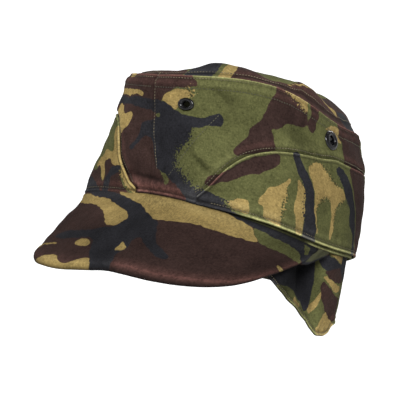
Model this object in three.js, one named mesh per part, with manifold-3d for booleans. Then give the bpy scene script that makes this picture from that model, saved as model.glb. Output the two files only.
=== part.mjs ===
// A soft camouflage field cap with a sewn peak, turned-up side bands and an ear and neck flap.
// Millimetres, +Z up, the peak points along -Y and the wearer's left is +X.
// The origin is the centre of the rim opening, where a head goes in.
import * as THREE from "three";
import { mergeVertices } from "three/addons/utils/BufferGeometryUtils.js";
import Module from "manifold-3d";

// Cloth and the play between the pieces
const WALL_CLOTH = 1.8;
const BAND_CLOTH = 1.6;
const TOP_CLOTH = 1.8;
const FLAP_CLOTH = 1.6;
const PEAK_THICKNESS = 3.4;
const PLAY = 0.4;
const BAND_PLAY = 0.75;
const SEAM_PLAY = 0.3;

// Crown sections. Level 0 is the rim and 1 the top edge. Squareness is the exponent of the front half.
const SECTIONS = [
  { level: 0.0, halfWidth: 88.5, frontReach: 85.0, backReach: 92.0, squareness: 3.9, centreY: -4.25 },
  { level: 0.5, halfWidth: 85.0, frontReach: 95.5, backReach: 96.5, squareness: 2.4, centreY: -5.0 },
  { level: 1.0, halfWidth: 73.0, frontReach: 104.0, backReach: 89.5, squareness: 2.1, centreY: -5.75 },
];
const BACK_SQUARENESS = 2.15;

// Heights of the rim and of the top edge, at even steps of 45 degrees from the front round to the back
const EDGE_HEIGHTS = [
  { angle: 0, rim: 10.8, top: 87.2 },
  { angle: 45, rim: 5.6, top: 93.7 },
  { angle: 90, rim: -2.5, top: 84.9 },
  { angle: 135, rim: -3.7, top: 85.8 },
  { angle: 180, rim: -9.2, top: 80.8 },
];

// Dents of the soft wall: where each one is, how far it spreads, and how deep it goes in
const DENTS = [
  { angle: 36, level: 0.4, angleSpread: 7, levelSpread: 0.14, depth: 1.4 },
  { angle: 0, level: 0.3, angleSpread: 14, levelSpread: 0.16, depth: 1.2 },
  { angle: 66, level: 0.74, angleSpread: 9, levelSpread: 0.1, depth: 1.8 },
  { angle: 150, level: 0.8, angleSpread: 16, levelSpread: 0.14, depth: 2.0 },
  { angle: -70, level: 0.76, angleSpread: 14, levelSpread: 0.12, depth: 1.8 },
  { angle: -140, level: 0.45, angleSpread: 14, levelSpread: 0.2, depth: 1.6 },
];

// Crown top: an oval panel let into the wall. It domes up, with a few swells and a dip at the front.
const TOP_SINK = 0.5;
const TOP_DOME = { height: 19.0, roundness: 4 };
const TOP_SWELLS = [
  { x: 28, y: 48, spread: 38, height: 10 },
  { x: -38, y: 2, spread: 24, height: 6 },
  { x: -20, y: -83, spread: 38, height: -7 },
];

// Turned-up bands: the level of the upper edge, from the front end round to the back seam
const BAND_FOOT_LEVEL = 0.035;
const BAND_FOOT_RISE = 0.012;
const LEFT_BAND = [
  { angle: 25.5, level: 0.075 },
  { angle: 29, level: 0.15 },
  { angle: 34.6, level: 0.32 },
  { angle: 41, level: 0.44 },
  { angle: 48.8, level: 0.515 },
  { angle: 60, level: 0.575 },
  { angle: 74, level: 0.63 },
  { angle: 90, level: 0.69 },
  { angle: 110, level: 0.688 },
  { angle: 130, level: 0.675 },
  { angle: 180, level: 0.66 },
];
const RIGHT_BAND = [
  { angle: 8.5, level: 0.06 },
  { angle: 12.5, level: 0.11 },
  { angle: 15.5, level: 0.19 },
  { angle: 18.5, level: 0.27 },
  { angle: 20.5, level: 0.38 },
  { angle: 22.5, level: 0.5 },
  { angle: 28, level: 0.585 },
  { angle: 39.5, level: 0.635 },
  { angle: 60, level: 0.66 },
  { angle: 90, level: 0.69 },
  { angle: 130, level: 0.675 },
  { angle: 180, level: 0.66 },
];

// Peak: how far it reaches from the rim, and how steeply it runs down, by the angle round the cap
const PEAK_REACH = [
  { angle: -88, reach: 2 },
  { angle: -75, reach: 29 },
  { angle: -60, reach: 49 },
  { angle: -45, reach: 59.5 },
  { angle: -30, reach: 68.5 },
  { angle: -15, reach: 72 },
  { angle: 0, reach: 70.5 },
  { angle: 15, reach: 67 },
  { angle: 30, reach: 66 },
  { angle: 45, reach: 62 },
  { angle: 60, reach: 49.5 },
  { angle: 75, reach: 27 },
  { angle: 88, reach: 2 },
];
const PEAK_SLOPE = 48.2;
const PEAK_SLOPE_AT_SIDES = -2.3;
const PEAK_SLOPE_TWIST = -6.3;
const PEAK_DROP = 0.4;
const PEAK_SQUARE_TO = 86;

// Ear and neck flap: how far its hem hangs below the rim, by the angle from the left ear round the back
const FLAP_HEM = [
  { angle: 50, drop: 20 },
  { angle: 58, drop: 30 },
  { angle: 72, drop: 40.5 },
  { angle: 88, drop: 50 },
  { angle: 94, drop: 54.5 },
  { angle: 103, drop: 55.5 },
  { angle: 113, drop: 53 },
  { angle: 130, drop: 43 },
  { angle: 155, drop: 28 },
  { angle: 180, drop: 21 },
  { angle: 205, drop: 23 },
  { angle: 232, drop: 34 },
  { angle: 255, drop: 43 },
  { angle: 268, drop: 42 },
  { angle: 285, drop: 34 },
  { angle: 300, drop: 25 },
  { angle: 310, drop: 16 },
];
const FLAP_TUCK = 13;
const FLAP_INSET = { behindPeak: 5.0, elsewhere: 2.6, from: 90, to: 100 };
const FLAP_STEP_IN = 7;
const FLAP_FOLD = { angle: 80, angleSpread: 6, depth: 7, from: 6, to: 46 };

// Eyelets: pressed rings through the wall, two on each side. Each row has its share of these radii.
const EYELET = { flange: 6.5, barrel: 3.7, bore: 2.8, rise: 1.2, hole: 4.1, seat: 0.5 };
const EYELET_ROLL = { foot: 0.5, crest: 1.8, lip: 0.6, footRise: 0.84, lipRise: 0.72 };
const EYELET_BACK = { flange: 5.4, rise: 0.8, seat: 0.55, chamfer: 0.4 };
const DRILL_LENGTH = 11;
const EYELETS = [
  { name: "eyelet_front_left", angle: 14.9, level: 0.762, share: 0.86 },
  { name: "eyelet_rear_left", angle: 84.3, level: 0.822, share: 1.12 },
  { name: "eyelet_front_right", angle: -62, level: 0.79, share: 0.86 },
  { name: "eyelet_rear_right", angle: -108, level: 0.822, share: 1.12 },
];

// Fineness of the facets
const ANGLE_STEP = 4.5;
const WALL_ROWS = 8;
const BAND_ROWS = 4;
const TOP_RINGS = 4;
const PEAK_ROWS = 4;
const FLAP_ROWS = 6;
const EYELET_SIDES = 14;

const COLOURS = {
  cloth: { color: 0x5a5f3c, roughness: 0.92, metalness: 0.0 },
  dark: { color: 0x3d302c, roughness: 0.92, metalness: 0.0 },
  metal: { color: 0x141416, roughness: 0.35, metalness: 0.8 },
};

const radians = THREE.MathUtils.degToRad;

// A smooth curve through the rows of a table that makes no bumps of its own (monotone cubic)
function smoothTable(rows, at, column, x) {
  const last = rows.length - 1;
  const xs = rows.map((row) => row[at]);
  const ys = rows.map((row) => row[column]);
  const clamped = Math.min(Math.max(x, xs[0]), xs[last]);
  const rise = ys.slice(1).map((y, i) => (y - ys[i]) / (xs[i + 1] - xs[i]));
  const slope = ys.map((_, i) => {
    if (i === 0 || i === last) return rise[i === 0 ? 0 : last - 1];
    if (rise[i - 1] * rise[i] <= 0) return 0;
    return (2 * rise[i - 1] * rise[i]) / (rise[i - 1] + rise[i]);
  });
  let i = 0;
  while (i < last - 1 && clamped > xs[i + 1]) i += 1;
  const width = xs[i + 1] - xs[i];
  const t = (clamped - xs[i]) / width;
  const start = (1 + 2 * t) * (1 - t) ** 2 * ys[i] + t * (1 - t) ** 2 * width * slope[i];
  const end = t * t * (3 - 2 * t) * ys[i + 1] + t * t * (t - 1) * width * slope[i + 1];
  return start + end;
}

// The parabola through the three section values of one column
function sectionValue(column, level) {
  const [rim, middle, top] = SECTIONS.map((section) => section[column]);
  const low = rim * (1 - level) * (1 - 2 * level);
  const centre = middle * 4 * level * (1 - level);
  return low + centre + top * level * (2 * level - 1);
}

// The sum of cosines that passes through the five heights, so that both sides of the cap are alike
function edgeHeight(column, angle) {
  const steps = EDGE_HEIGHTS.length - 1;
  const half = (k) => (k === 0 || k === steps ? 0.5 : 1);
  let height = 0;
  for (let k = 0; k <= steps; k += 1) {
    let weight = 0;
    EDGE_HEIGHTS.forEach((row, j) => {
      weight += half(j) * row[column] * Math.cos((Math.PI * j * k) / steps);
    });
    height += ((half(k) * 2) / steps) * weight * Math.cos(k * radians(angle));
  }
  return height;
}

function dentDepth(angle, level) {
  let depth = 0;
  for (const dent of DENTS) {
    const across = (angle - dent.angle) / dent.angleSpread;
    const up = (level - dent.level) / dent.levelSpread;
    depth += dent.depth * Math.exp(-(across * across + up * up));
  }
  return depth;
}

// Outer face of the wall: a superellipse in plan, whose sections and heights change with the level
function wallFace(angle, level) {
  const s = Math.sin(radians(angle));
  const c = Math.cos(radians(angle));
  const reach = sectionValue(c > 0 ? "frontReach" : "backReach", level);
  const power = c > 0 ? sectionValue("squareness", level) : BACK_SQUARENESS;
  const width = sectionValue("halfWidth", level);
  const sum = Math.abs(s / width) ** power + Math.abs(c / reach) ** power;
  const turned = angle > 180 ? angle - 360 : angle;
  const radius = sum ** (-1 / power) - dentDepth(turned, level);
  const height = (1 - level) * edgeHeight("rim", angle) + level * edgeHeight("top", angle);
  return new THREE.Vector3(radius * s, sectionValue("centreY", level) - radius * c, height);
}

function wallNormal(angle, level) {
  const round = wallFace(angle + 0.5, level).sub(wallFace(angle - 0.5, level));
  const up = wallFace(angle, level + 0.01).sub(wallFace(angle, level - 0.01));
  return round.cross(up).normalize();
}

// A point at a distance out from the wall's outer face
function wallPoint(angle, level, out) {
  return wallFace(angle, level).addScaledVector(wallNormal(angle, level), out);
}

// Stations from one angle to another, on the same even steps for every piece, so that facets stay parallel
function angleStations(from, to) {
  const stations = [from];
  for (let a = Math.ceil(from / ANGLE_STEP) * ANGLE_STEP; a < to; a += ANGLE_STEP) {
    if (a - from > ANGLE_STEP / 4 && to - a > ANGLE_STEP / 4) stations.push(a);
  }
  stations.push(to);
  return stations;
}

function evenSteps(count) {
  return Array.from({ length: count + 1 }, (_, i) => i / count);
}

// A sheet of cloth as a closed solid. faceOut gives the face that points along columns x rows, faceIn the other.
function clothSolid(columns, rows, faceOut, faceIn) {
  const wide = columns.length;
  const high = rows.length;
  const positions = [];
  const index = [];
  for (const face of [faceOut, faceIn]) {
    for (const column of columns) {
      for (const row of rows) positions.push(...face(column, row).toArray());
    }
  }
  const outer = (i, j) => i * high + j;
  const inner = (i, j) => wide * high + i * high + j;
  const quad = (a, b, c, d) => index.push(a, b, c, a, c, d);
  for (let i = 0; i < wide - 1; i += 1) {
    for (let j = 0; j < high - 1; j += 1) {
      quad(outer(i, j), outer(i + 1, j), outer(i + 1, j + 1), outer(i, j + 1));
      quad(inner(i, j), inner(i, j + 1), inner(i + 1, j + 1), inner(i + 1, j));
    }
    quad(outer(i, 0), inner(i, 0), inner(i + 1, 0), outer(i + 1, 0));
    quad(outer(i, high - 1), outer(i + 1, high - 1), inner(i + 1, high - 1), inner(i, high - 1));
  }
  for (let j = 0; j < high - 1; j += 1) {
    quad(outer(0, j), outer(0, j + 1), inner(0, j + 1), inner(0, j));
    quad(outer(wide - 1, j), inner(wide - 1, j), inner(wide - 1, j + 1), outer(wide - 1, j + 1));
  }
  const geometry = new THREE.BufferGeometry();
  geometry.setAttribute("position", new THREE.Float32BufferAttribute(positions, 3));
  geometry.setIndex(index);
  return geometry;
}

function namedMesh(name, geometry, look) {
  geometry.computeVertexNormals();
  const mesh = new THREE.Mesh(geometry, new THREE.MeshStandardMaterial(look));
  mesh.name = name;
  return mesh;
}

// Solids for joining and cutting
const manifold = await Module();
manifold.setup();

function toSolid(geometry, matrix) {
  const bare = geometry.clone();
  bare.deleteAttribute("normal");
  bare.deleteAttribute("uv");
  if (matrix) bare.applyMatrix4(matrix);
  const merged = mergeVertices(bare, 1e-4);
  return new manifold.Manifold(
    new manifold.Mesh({
      numProp: 3,
      vertProperties: new Float32Array(merged.attributes.position.array),
      triVerts: new Uint32Array(merged.index.array),
    }),
  );
}

function fromSolid(solid) {
  const mesh = solid.getMesh();
  const geometry = new THREE.BufferGeometry();
  geometry.setAttribute("position", new THREE.BufferAttribute(mesh.vertProperties, 3));
  geometry.setIndex(new THREE.BufferAttribute(mesh.triVerts, 1));
  return geometry;
}

// Where an eyelet sits: its own +Y runs straight out of the cloth
function eyeletPlace({ angle, level, share }) {
  const normal = wallNormal(angle, level);
  const turn = new THREE.Quaternion().setFromUnitVectors(new THREE.Vector3(0, 1, 0), normal);
  return new THREE.Matrix4().compose(wallFace(angle, level), turn, new THREE.Vector3(share, 1, share));
}

// Side wall: one half of the crown from the front seam to the back seam, with its eyelet holes
function sideWall(name, side) {
  const gap = (SEAM_PLAY / 2 / SECTIONS[1].frontReach) * THREE.MathUtils.RAD2DEG;
  const columns = angleStations(gap, 180 - gap).map((angle) => angle * side);
  if (side < 0) columns.reverse();
  const rows = evenSteps(WALL_ROWS);
  const sheet = clothSolid(
    columns,
    rows,
    (angle, level) => wallPoint(angle, level, 0),
    (angle, level) => wallPoint(angle, level, -WALL_CLOTH),
  );
  const drill = new THREE.CylinderGeometry(EYELET.hole, EYELET.hole, DRILL_LENGTH, EYELET_SIDES);
  let solid = toSolid(sheet);
  for (const eyelet of EYELETS.filter((row) => Math.sign(row.angle) === side)) {
    solid = solid.subtract(toSolid(drill, eyeletPlace(eyelet)));
  }
  return namedMesh(name, fromSolid(solid), COLOURS.cloth);
}

// Turned-up band: an outer layer from just above the rim to a curved upper edge
function turnUpBand(name, edge, side) {
  const gap = (SEAM_PLAY / 2 / SECTIONS[1].backReach) * THREE.MathUtils.RAD2DEG;
  const columns = angleStations(edge[0].angle, 180 - gap);
  if (side < 0) columns.reverse();
  const levelAt = (angle, row) => {
    const foot = BAND_FOOT_LEVEL + BAND_FOOT_RISE * Math.sin(radians(angle));
    return foot + row * (smoothTable(edge, "angle", "level", angle) - foot);
  };
  const face = (out) => (angle, row) => wallPoint(angle * side, levelAt(angle, row), out);
  const sheet = clothSolid(columns, evenSteps(BAND_ROWS), face(BAND_PLAY + BAND_CLOTH), face(BAND_PLAY));
  return namedMesh(name, sheet, COLOURS.cloth);
}

// How far the top stands up at a place, which is nothing at its edge
function topSwell(place, share) {
  let rise = TOP_DOME.height * (1 - share ** TOP_DOME.roundness);
  for (const swell of TOP_SWELLS) {
    const far = ((place.x - swell.x) ** 2 + (place.y - swell.y) ** 2) / swell.spread ** 2;
    rise += swell.height * Math.exp(-far) * (1 - share ** 2);
  }
  return rise;
}

// Crown top: rings from the middle out to the wall's inner face
function crownTop() {
  const sides = 360 / ANGLE_STEP;
  const rimAt = (i, down) => {
    const wallHeight = edgeHeight("top", i * ANGLE_STEP) - edgeHeight("rim", i * ANGLE_STEP);
    return wallPoint(i * ANGLE_STEP, 1 - (TOP_SINK + down) / wallHeight, -WALL_CLOTH - PLAY);
  };
  const middle = new THREE.Vector3(0, SECTIONS[2].centreY, 0);
  for (let i = 0; i < sides; i += 1) middle.z += rimAt(i, 0).z / sides;
  const point = (i, ring, down) => {
    const share = ring / TOP_RINGS;
    const rim = rimAt(i, down);
    const centre = middle.clone().setZ(middle.z - down);
    const place = centre.clone().lerp(rim, share);
    place.z = centre.z + (rim.z - centre.z) * share ** 2 + topSwell(place, share);
    return place;
  };
  const positions = [];
  const index = [];
  const ringStart = (face, ring) => face * (1 + TOP_RINGS * sides) + 1 + (ring - 1) * sides;
  for (const down of [0, TOP_CLOTH]) {
    positions.push(...point(0, 0, down).toArray());
    for (let ring = 1; ring <= TOP_RINGS; ring += 1) {
      for (let i = 0; i < sides; i += 1) positions.push(...point(i, ring, down).toArray());
    }
  }
  const under = 1 + TOP_RINGS * sides;
  for (let i = 0; i < sides; i += 1) {
    const next = (i + 1) % sides;
    index.push(0, ringStart(0, 1) + i, ringStart(0, 1) + next);
    index.push(under, ringStart(1, 1) + next, ringStart(1, 1) + i);
    for (let ring = 1; ring < TOP_RINGS; ring += 1) {
      const [a, b] = [ringStart(0, ring), ringStart(0, ring + 1)];
      index.push(a + i, b + i, b + next, a + i, b + next, a + next);
      const [c, d] = [ringStart(1, ring), ringStart(1, ring + 1)];
      index.push(c + i, d + next, d + i, c + i, c + next, d + next);
    }
    const [e, f] = [ringStart(0, TOP_RINGS), ringStart(1, TOP_RINGS)];
    index.push(e + i, f + i, f + next, e + i, f + next, e + next);
  }
  const geometry = new THREE.BufferGeometry();
  geometry.setAttribute("position", new THREE.Float32BufferAttribute(positions, 3));
  geometry.setIndex(index);
  return namedMesh("crown_top", geometry, COLOURS.cloth);
}

// Peak: straight lines run forward and down from the rim to a curved edge
function peakFace(angle, share) {
  const s = Math.sin(radians(angle));
  const slope = radians(PEAK_SLOPE + PEAK_SLOPE_AT_SIDES * s * s + PEAK_SLOPE_TWIST * s);
  const run = share * smoothTable(PEAK_REACH, "angle", "reach", angle);
  const start = wallFace(angle, 0);
  return start.add(new THREE.Vector3(0, -run * Math.cos(slope), -run * Math.sin(slope) - PEAK_DROP));
}

// A point below the peak's upper face. Its square direction is taken short of the two pointed ends.
function peakPoint(angle, share, down) {
  const near = THREE.MathUtils.clamp(angle, -PEAK_SQUARE_TO, PEAK_SQUARE_TO);
  const round = peakFace(near + 1, share).sub(peakFace(near - 1, share));
  const out = peakFace(near, share + 0.1).sub(peakFace(near, share - 0.1));
  const normal = out.cross(round).normalize();
  return peakFace(angle, share).addScaledVector(normal, -down);
}

function peak() {
  const columns = angleStations(PEAK_REACH[0].angle, PEAK_REACH.at(-1).angle);
  const rows = evenSteps(PEAK_ROWS).map((share) => 1 - share);
  const sheet = clothSolid(
    columns,
    rows,
    (angle, share) => peakPoint(angle, share, 0),
    (angle, share) => peakPoint(angle, share, PEAK_THICKNESS),
  );
  return namedMesh("peak", sheet, COLOURS.dark);
}

// Ear and neck flap: sewn inside the rim and hanging straight down, with one fold in front of the left ear
function flapPoint(angle, share, inwards) {
  const rim = wallFace(angle, 0);
  const normal = wallNormal(angle, 0);
  normal.z = 0;
  normal.normalize();
  const hem = smoothTable(FLAP_HEM, "angle", "drop", angle);
  const down = share * (hem + FLAP_TUCK) - FLAP_TUCK;
  const free = THREE.MathUtils.smoothstep(down, -FLAP_STEP_IN, 0);
  const fromFront = Math.min(angle, 360 - angle);
  const clear = 1 - THREE.MathUtils.smoothstep(fromFront, FLAP_INSET.from, FLAP_INSET.to);
  const below = FLAP_INSET.elsewhere + clear * (FLAP_INSET.behindPeak - FLAP_INSET.elsewhere);
  const inside = WALL_CLOTH + PLAY + free * (below - WALL_CLOTH);
  const across = (angle - FLAP_FOLD.angle) / FLAP_FOLD.angleSpread;
  const fades = THREE.MathUtils.smoothstep(down, 0, FLAP_FOLD.from);
  const ends = 1 - THREE.MathUtils.smoothstep(down, FLAP_FOLD.from, FLAP_FOLD.to);
  const fold = FLAP_FOLD.depth * Math.exp(-across * across) * fades * ends;
  const wallHeight = edgeHeight("top", angle) - edgeHeight("rim", angle);
  const lean = wallFace(angle, Math.max(-down, 0) / wallHeight);
  return new THREE.Vector3(
    lean.x - normal.x * (inside + fold + inwards),
    lean.y - normal.y * (inside + fold + inwards),
    rim.z - down,
  );
}

function earAndNeckFlap() {
  const columns = angleStations(FLAP_HEM[0].angle, FLAP_HEM.at(-1).angle);
  const rows = evenSteps(FLAP_ROWS).map((share) => 1 - share);
  const sheet = clothSolid(
    columns,
    rows,
    (angle, share) => flapPoint(angle, share, 0),
    (angle, share) => flapPoint(angle, share, FLAP_CLOTH),
  );
  return namedMesh("ear_and_neck_flap", sheet, COLOURS.cloth);
}

// Eyelet: a rolled flange outside, a barrel through the cloth and a flat flange inside, all one ring
function eyelet(row) {
  const outside = EYELET.seat;
  const inside = -WALL_CLOTH - EYELET_BACK.seat;
  const profile = [
    [EYELET.bore, inside - EYELET_BACK.rise],
    [EYELET_BACK.flange - EYELET_BACK.chamfer, inside - EYELET_BACK.rise],
    [EYELET_BACK.flange, inside],
    [EYELET.barrel, inside],
    [EYELET.barrel, outside],
    [EYELET.flange, outside],
    [EYELET.flange - EYELET_ROLL.foot, outside + EYELET_ROLL.footRise],
    [EYELET.flange - EYELET_ROLL.crest, outside + EYELET.rise],
    [EYELET.bore + EYELET_ROLL.lip, outside + EYELET_ROLL.lipRise],
    [EYELET.bore, outside],
    [EYELET.bore, inside - EYELET_BACK.rise],
  ];
  const points = profile.map(([r, y]) => new THREE.Vector2(r, y));
  const ring = new THREE.LatheGeometry(points, EYELET_SIDES);
  const mesh = namedMesh(row.name, ring, COLOURS.metal);
  mesh.applyMatrix4(eyeletPlace(row));
  return mesh;
}

const cap = new THREE.Group();
cap.add(crownTop());
cap.add(sideWall("side_left", 1));
cap.add(sideWall("side_right", -1));
cap.add(turnUpBand("band_left", LEFT_BAND, 1));
cap.add(turnUpBand("band_right", RIGHT_BAND, -1));
cap.add(peak());
cap.add(earAndNeckFlap());
EYELETS.forEach((row) => cap.add(eyelet(row)));

export default cap;
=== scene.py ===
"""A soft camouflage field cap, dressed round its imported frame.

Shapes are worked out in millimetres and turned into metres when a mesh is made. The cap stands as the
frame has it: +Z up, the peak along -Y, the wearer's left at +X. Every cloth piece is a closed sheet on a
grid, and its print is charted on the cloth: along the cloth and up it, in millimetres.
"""
import logging
from dataclasses import dataclass, field, replace
from enum import Enum

import bpy
import numpy as np
from mathutils import Matrix, Vector
from numpy.typing import NDArray


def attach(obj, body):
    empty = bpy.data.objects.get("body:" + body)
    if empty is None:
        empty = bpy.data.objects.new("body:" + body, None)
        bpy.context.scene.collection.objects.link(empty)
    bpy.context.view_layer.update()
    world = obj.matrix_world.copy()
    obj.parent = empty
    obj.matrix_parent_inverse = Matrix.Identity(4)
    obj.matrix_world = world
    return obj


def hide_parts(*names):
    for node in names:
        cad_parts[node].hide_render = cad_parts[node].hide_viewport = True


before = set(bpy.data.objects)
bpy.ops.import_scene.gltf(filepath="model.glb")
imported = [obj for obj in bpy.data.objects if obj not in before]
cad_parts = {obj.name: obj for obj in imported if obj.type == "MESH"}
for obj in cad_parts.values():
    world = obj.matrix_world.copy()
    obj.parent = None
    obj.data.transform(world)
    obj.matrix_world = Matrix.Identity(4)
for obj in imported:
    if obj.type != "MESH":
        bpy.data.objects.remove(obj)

Array = NDArray[np.float64]
Rows = tuple[tuple[float, ...], ...]
Hole = tuple[int, int, int]
Colour = tuple[float, float, float]

MM = 0.001
SINES = 6
FAR = 90.0
LOG = logging.getLogger("field_cap")
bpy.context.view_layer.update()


class Ink(Enum):
    """The printed inks, in the order in which they lie on the cloth."""

    TAN = "ink_tan"
    BROWN = "ink_brown"
    BLACK = "ink_black"
    SPRIG = "ink_sprig"
    SAND = "ink_sand"


# Curves and small sums

def smooth_table(rows: Rows, x: Array) -> Array:
    """Read a smooth curve through the rows of a table that makes no bumps of its own.

    It is the monotone cubic: between two rows a Hermite curve, whose slope at a row is the harmonic mean of
    the rises on its two sides, or nothing at a turn.

    Args:
        rows: pairs of position and value, in rising order.
        x: positions to read at.

    Returns:
        The values, in the shape of x.
    """
    xs, ys = np.array(rows, float).T
    x = np.clip(x, xs[0], xs[-1])
    width = np.diff(xs)
    rise = np.diff(ys) / width
    inner = np.zeros(len(xs) - 2)
    keeps = rise[:-1] * rise[1:] > 0
    inner[keeps] = 2 * rise[:-1][keeps] * rise[1:][keeps] / (rise[:-1] + rise[1:])[keeps]
    slope = np.concatenate([rise[:1], inner, rise[-1:]])
    i = np.clip(np.searchsorted(xs, x) - 1, 0, len(xs) - 2)
    t = (x - xs[i]) / width[i]
    start = (1 + 2 * t) * (1 - t) ** 2 * ys[i] + t * (1 - t) ** 2 * width[i] * slope[i]
    end = t * t * (3 - 2 * t) * ys[i + 1] + t * t * (t - 1) * width[i] * slope[i + 1]
    return start + end


def smooth_step(low: float, high: float, x: Array) -> Array:
    """Rise from 0 at low to 1 at high along 3t^2 - 2t^3."""
    t = np.clip((x - low) / (high - low), 0, 1)
    return t * t * (3 - 2 * t)


def bell(x: Array, width: float) -> Array:
    """Fall from 1 at nothing along exp(-(x / width)^2)."""
    return np.exp(-(x / width) ** 2)


def ridges(distance: Array, rows: Rows) -> Array:
    """Add up ridges along an edge: rows of share, distance in and spread, each the share times its bell."""
    return sum(share * bell(distance - at, spread) for share, at, spread in rows)


def chain_distance(along: Array, up: Array, nodes: Rows) -> tuple[Array, Array]:
    """Measure how far points lie from a chain of straight pieces.

    Args:
        along: first coordinate of the points.
        up: second coordinate of the points.
        nodes: rows of along, up and a value that runs evenly from node to node.

    Returns:
        The distance to the nearest piece, and the chain's value there. Nearest counts distance less value.
    """
    chain = np.array(nodes if len(nodes) > 1 else nodes * 2, float)
    best = np.full(np.shape(along), np.inf)
    distance, value = best.copy(), best.copy()
    for (x0, y0, r0), (x1, y1, r1) in zip(chain[:-1], chain[1:]):
        length = max((x1 - x0) ** 2 + (y1 - y0) ** 2, 1e-9)
        t = np.clip(((along - x0) * (x1 - x0) + (up - y0) * (y1 - y0)) / length, 0, 1)
        here = np.hypot(along - x0 - t * (x1 - x0), up - y0 - t * (y1 - y0))
        radius = r0 + t * (r1 - r0)
        nearer = here - radius < best
        best = np.where(nearer, here - radius, best)
        distance = np.where(nearer, here, distance)
        value = np.where(nearer, radius, value)
    return distance, value


def round_off(a: Array, b: Array) -> tuple[Array, Array]:
    """Turn the square rings of a grid into circles.

    Along one side of a square, the angle off the side's middle is an eighth of a full turn times the share of
    half the side.

    Args:
        a: steps from the grid's middle along its columns.
        b: steps from the grid's middle along its rows.

    Returns:
        The two parts of each vertex's direction from the middle, which has none itself.
    """
    wide = np.abs(a) >= np.abs(b)
    reach = np.maximum(np.maximum(np.abs(a), np.abs(b)), 1e-9)
    turn = np.where(wide, b, a) / reach * np.pi / 4
    x = np.where(wide, np.sign(a) * np.cos(turn), np.sin(turn))
    y = np.where(wide, np.sin(turn), np.sign(b) * np.cos(turn))
    return x, y


def waver(along: Array, up: Array, length: float, seed: int) -> Array:
    """Make a slow uneven wave between about -1 and 1: a mean of sines in seeded directions.

    Args:
        along: first coordinate, in millimetres.
        up: second coordinate, in millimetres.
        length: typical distance from crest to crest, in millimetres.
        seed: picks the directions and phases.

    Returns:
        The wave, in the shape of along.
    """
    draw = np.random.default_rng(seed)
    total = np.zeros(np.shape(along))
    for _ in range(SINES):
        turn, phase, stretch = draw.uniform(0, np.pi), draw.uniform(0, 2 * np.pi), draw.uniform(0.6, 1.5)
        k = 2 * np.pi * stretch / length
        total = total + np.sin(k * (np.cos(turn) * along + np.sin(turn) * up) + phase)
    return total / np.sqrt(SINES)


def smooth_loop(loop: Array, times: int) -> Array:
    """Cut a loop's corners several times, each into two points a quarter of the way along its sides.

    Args:
        loop: the loop's corners, one to a row.
        times: how often all corners are cut.

    Returns:
        The corners of the smoother loop.
    """
    for _ in range(times):
        after = np.roll(loop, -1, axis=0)
        pairs = np.stack([0.75 * loop + 0.25 * after, 0.25 * loop + 0.75 * after], 1)
        loop = pairs.reshape(-1, loop.shape[1])
    return loop


# The print and the folds, charted on the cloth

@dataclass(frozen=True)
class Stroke:
    """One printed patch: a brush stroke that swells and thins along a chain."""

    ink: Ink
    nodes: Rows
    brush: float

    def measure(self, along: Array, up: Array) -> tuple[Array, Array]:
        """Measure points' signed distance from the stroke, and the brush width."""
        distance, radius = chain_distance(along, up, self.nodes)
        return distance - radius, np.full(np.shape(along), self.brush)

    def moved(self, along: float, up: float, flip: bool) -> "Stroke":
        """Return the same stroke elsewhere on the cloth, mirrored along it if flip is set."""
        sign = -1 if flip else 1
        return replace(self, nodes=tuple((sign * x + along, y + up, r) for x, y, r in self.nodes))


@dataclass(frozen=True)
class Patch:
    """One printed patch: an outline whose rows are along, up and how far the brush breaks its edge."""

    ink: Ink
    outline: Rows
    brush: float
    smoothings: int = 2
    reach: float = 12.0

    def loop(self) -> Array:
        """Give the smoothed outline as rows of along, up and brush width."""
        loop = np.array([(*row[:2], row[2] if len(row) > 2 else self.brush) for row in self.outline])
        return smooth_loop(loop, self.smoothings)

    def measure(self, along: Array, up: Array) -> tuple[Array, Array]:
        """Measure points' signed distance from the outline, below nothing inside, and the brush width there.

        A point is inside when a line from it to one side crosses the outline an odd number of times.

        Args:
            along: first coordinate of the points, in one row.
            up: second coordinate of the points.

        Returns:
            Distance and brush width. Points far off the outline's box keep the reach as their distance.
        """
        loop = self.loop()
        low, high = loop[:, :2].min(0) - self.reach, loop[:, :2].max(0) + self.reach
        near = (along > low[0]) & (along < high[0]) & (up > low[1]) & (up < high[1])
        x, y = along[near], up[near]
        best, brush = np.full(x.shape, self.reach), np.zeros(x.shape)
        inside = np.zeros(x.shape, bool)
        for (x0, y0, b0), (x1, y1, b1) in zip(loop, np.roll(loop, -1, axis=0)):
            length = max((x1 - x0) ** 2 + (y1 - y0) ** 2, 1e-9)
            t = np.clip(((x - x0) * (x1 - x0) + (y - y0) * (y1 - y0)) / length, 0, 1)
            here = np.hypot(x - x0 - t * (x1 - x0), y - y0 - t * (y1 - y0))
            nearer = here < best
            best, brush = np.where(nearer, here, best), np.where(nearer, b0 + t * (b1 - b0), brush)
            if y0 != y1:
                inside ^= ((y0 > y) != (y1 > y)) & (x < x0 + (y - y0) / (y1 - y0) * (x1 - x0))
        distance, width = np.full(along.shape, self.reach), np.zeros(along.shape)
        distance[near], width[near] = np.where(inside, -best, best), brush
        return distance, width

    def moved(self, along: float, up: float, flip: bool) -> "Patch":
        """Print the same patch elsewhere on the cloth.

        Args:
            along: how far along the cloth it goes, in millimetres.
            up: how far up the cloth, in millimetres.
            flip: whether it is first mirrored along the cloth.

        Returns:
            The new patch.
        """
        sign = -1 if flip else 1
        outline = tuple((sign * row[0] + along, row[1] + up, *row[2:]) for row in self.outline)
        return replace(self, outline=outline)


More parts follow.
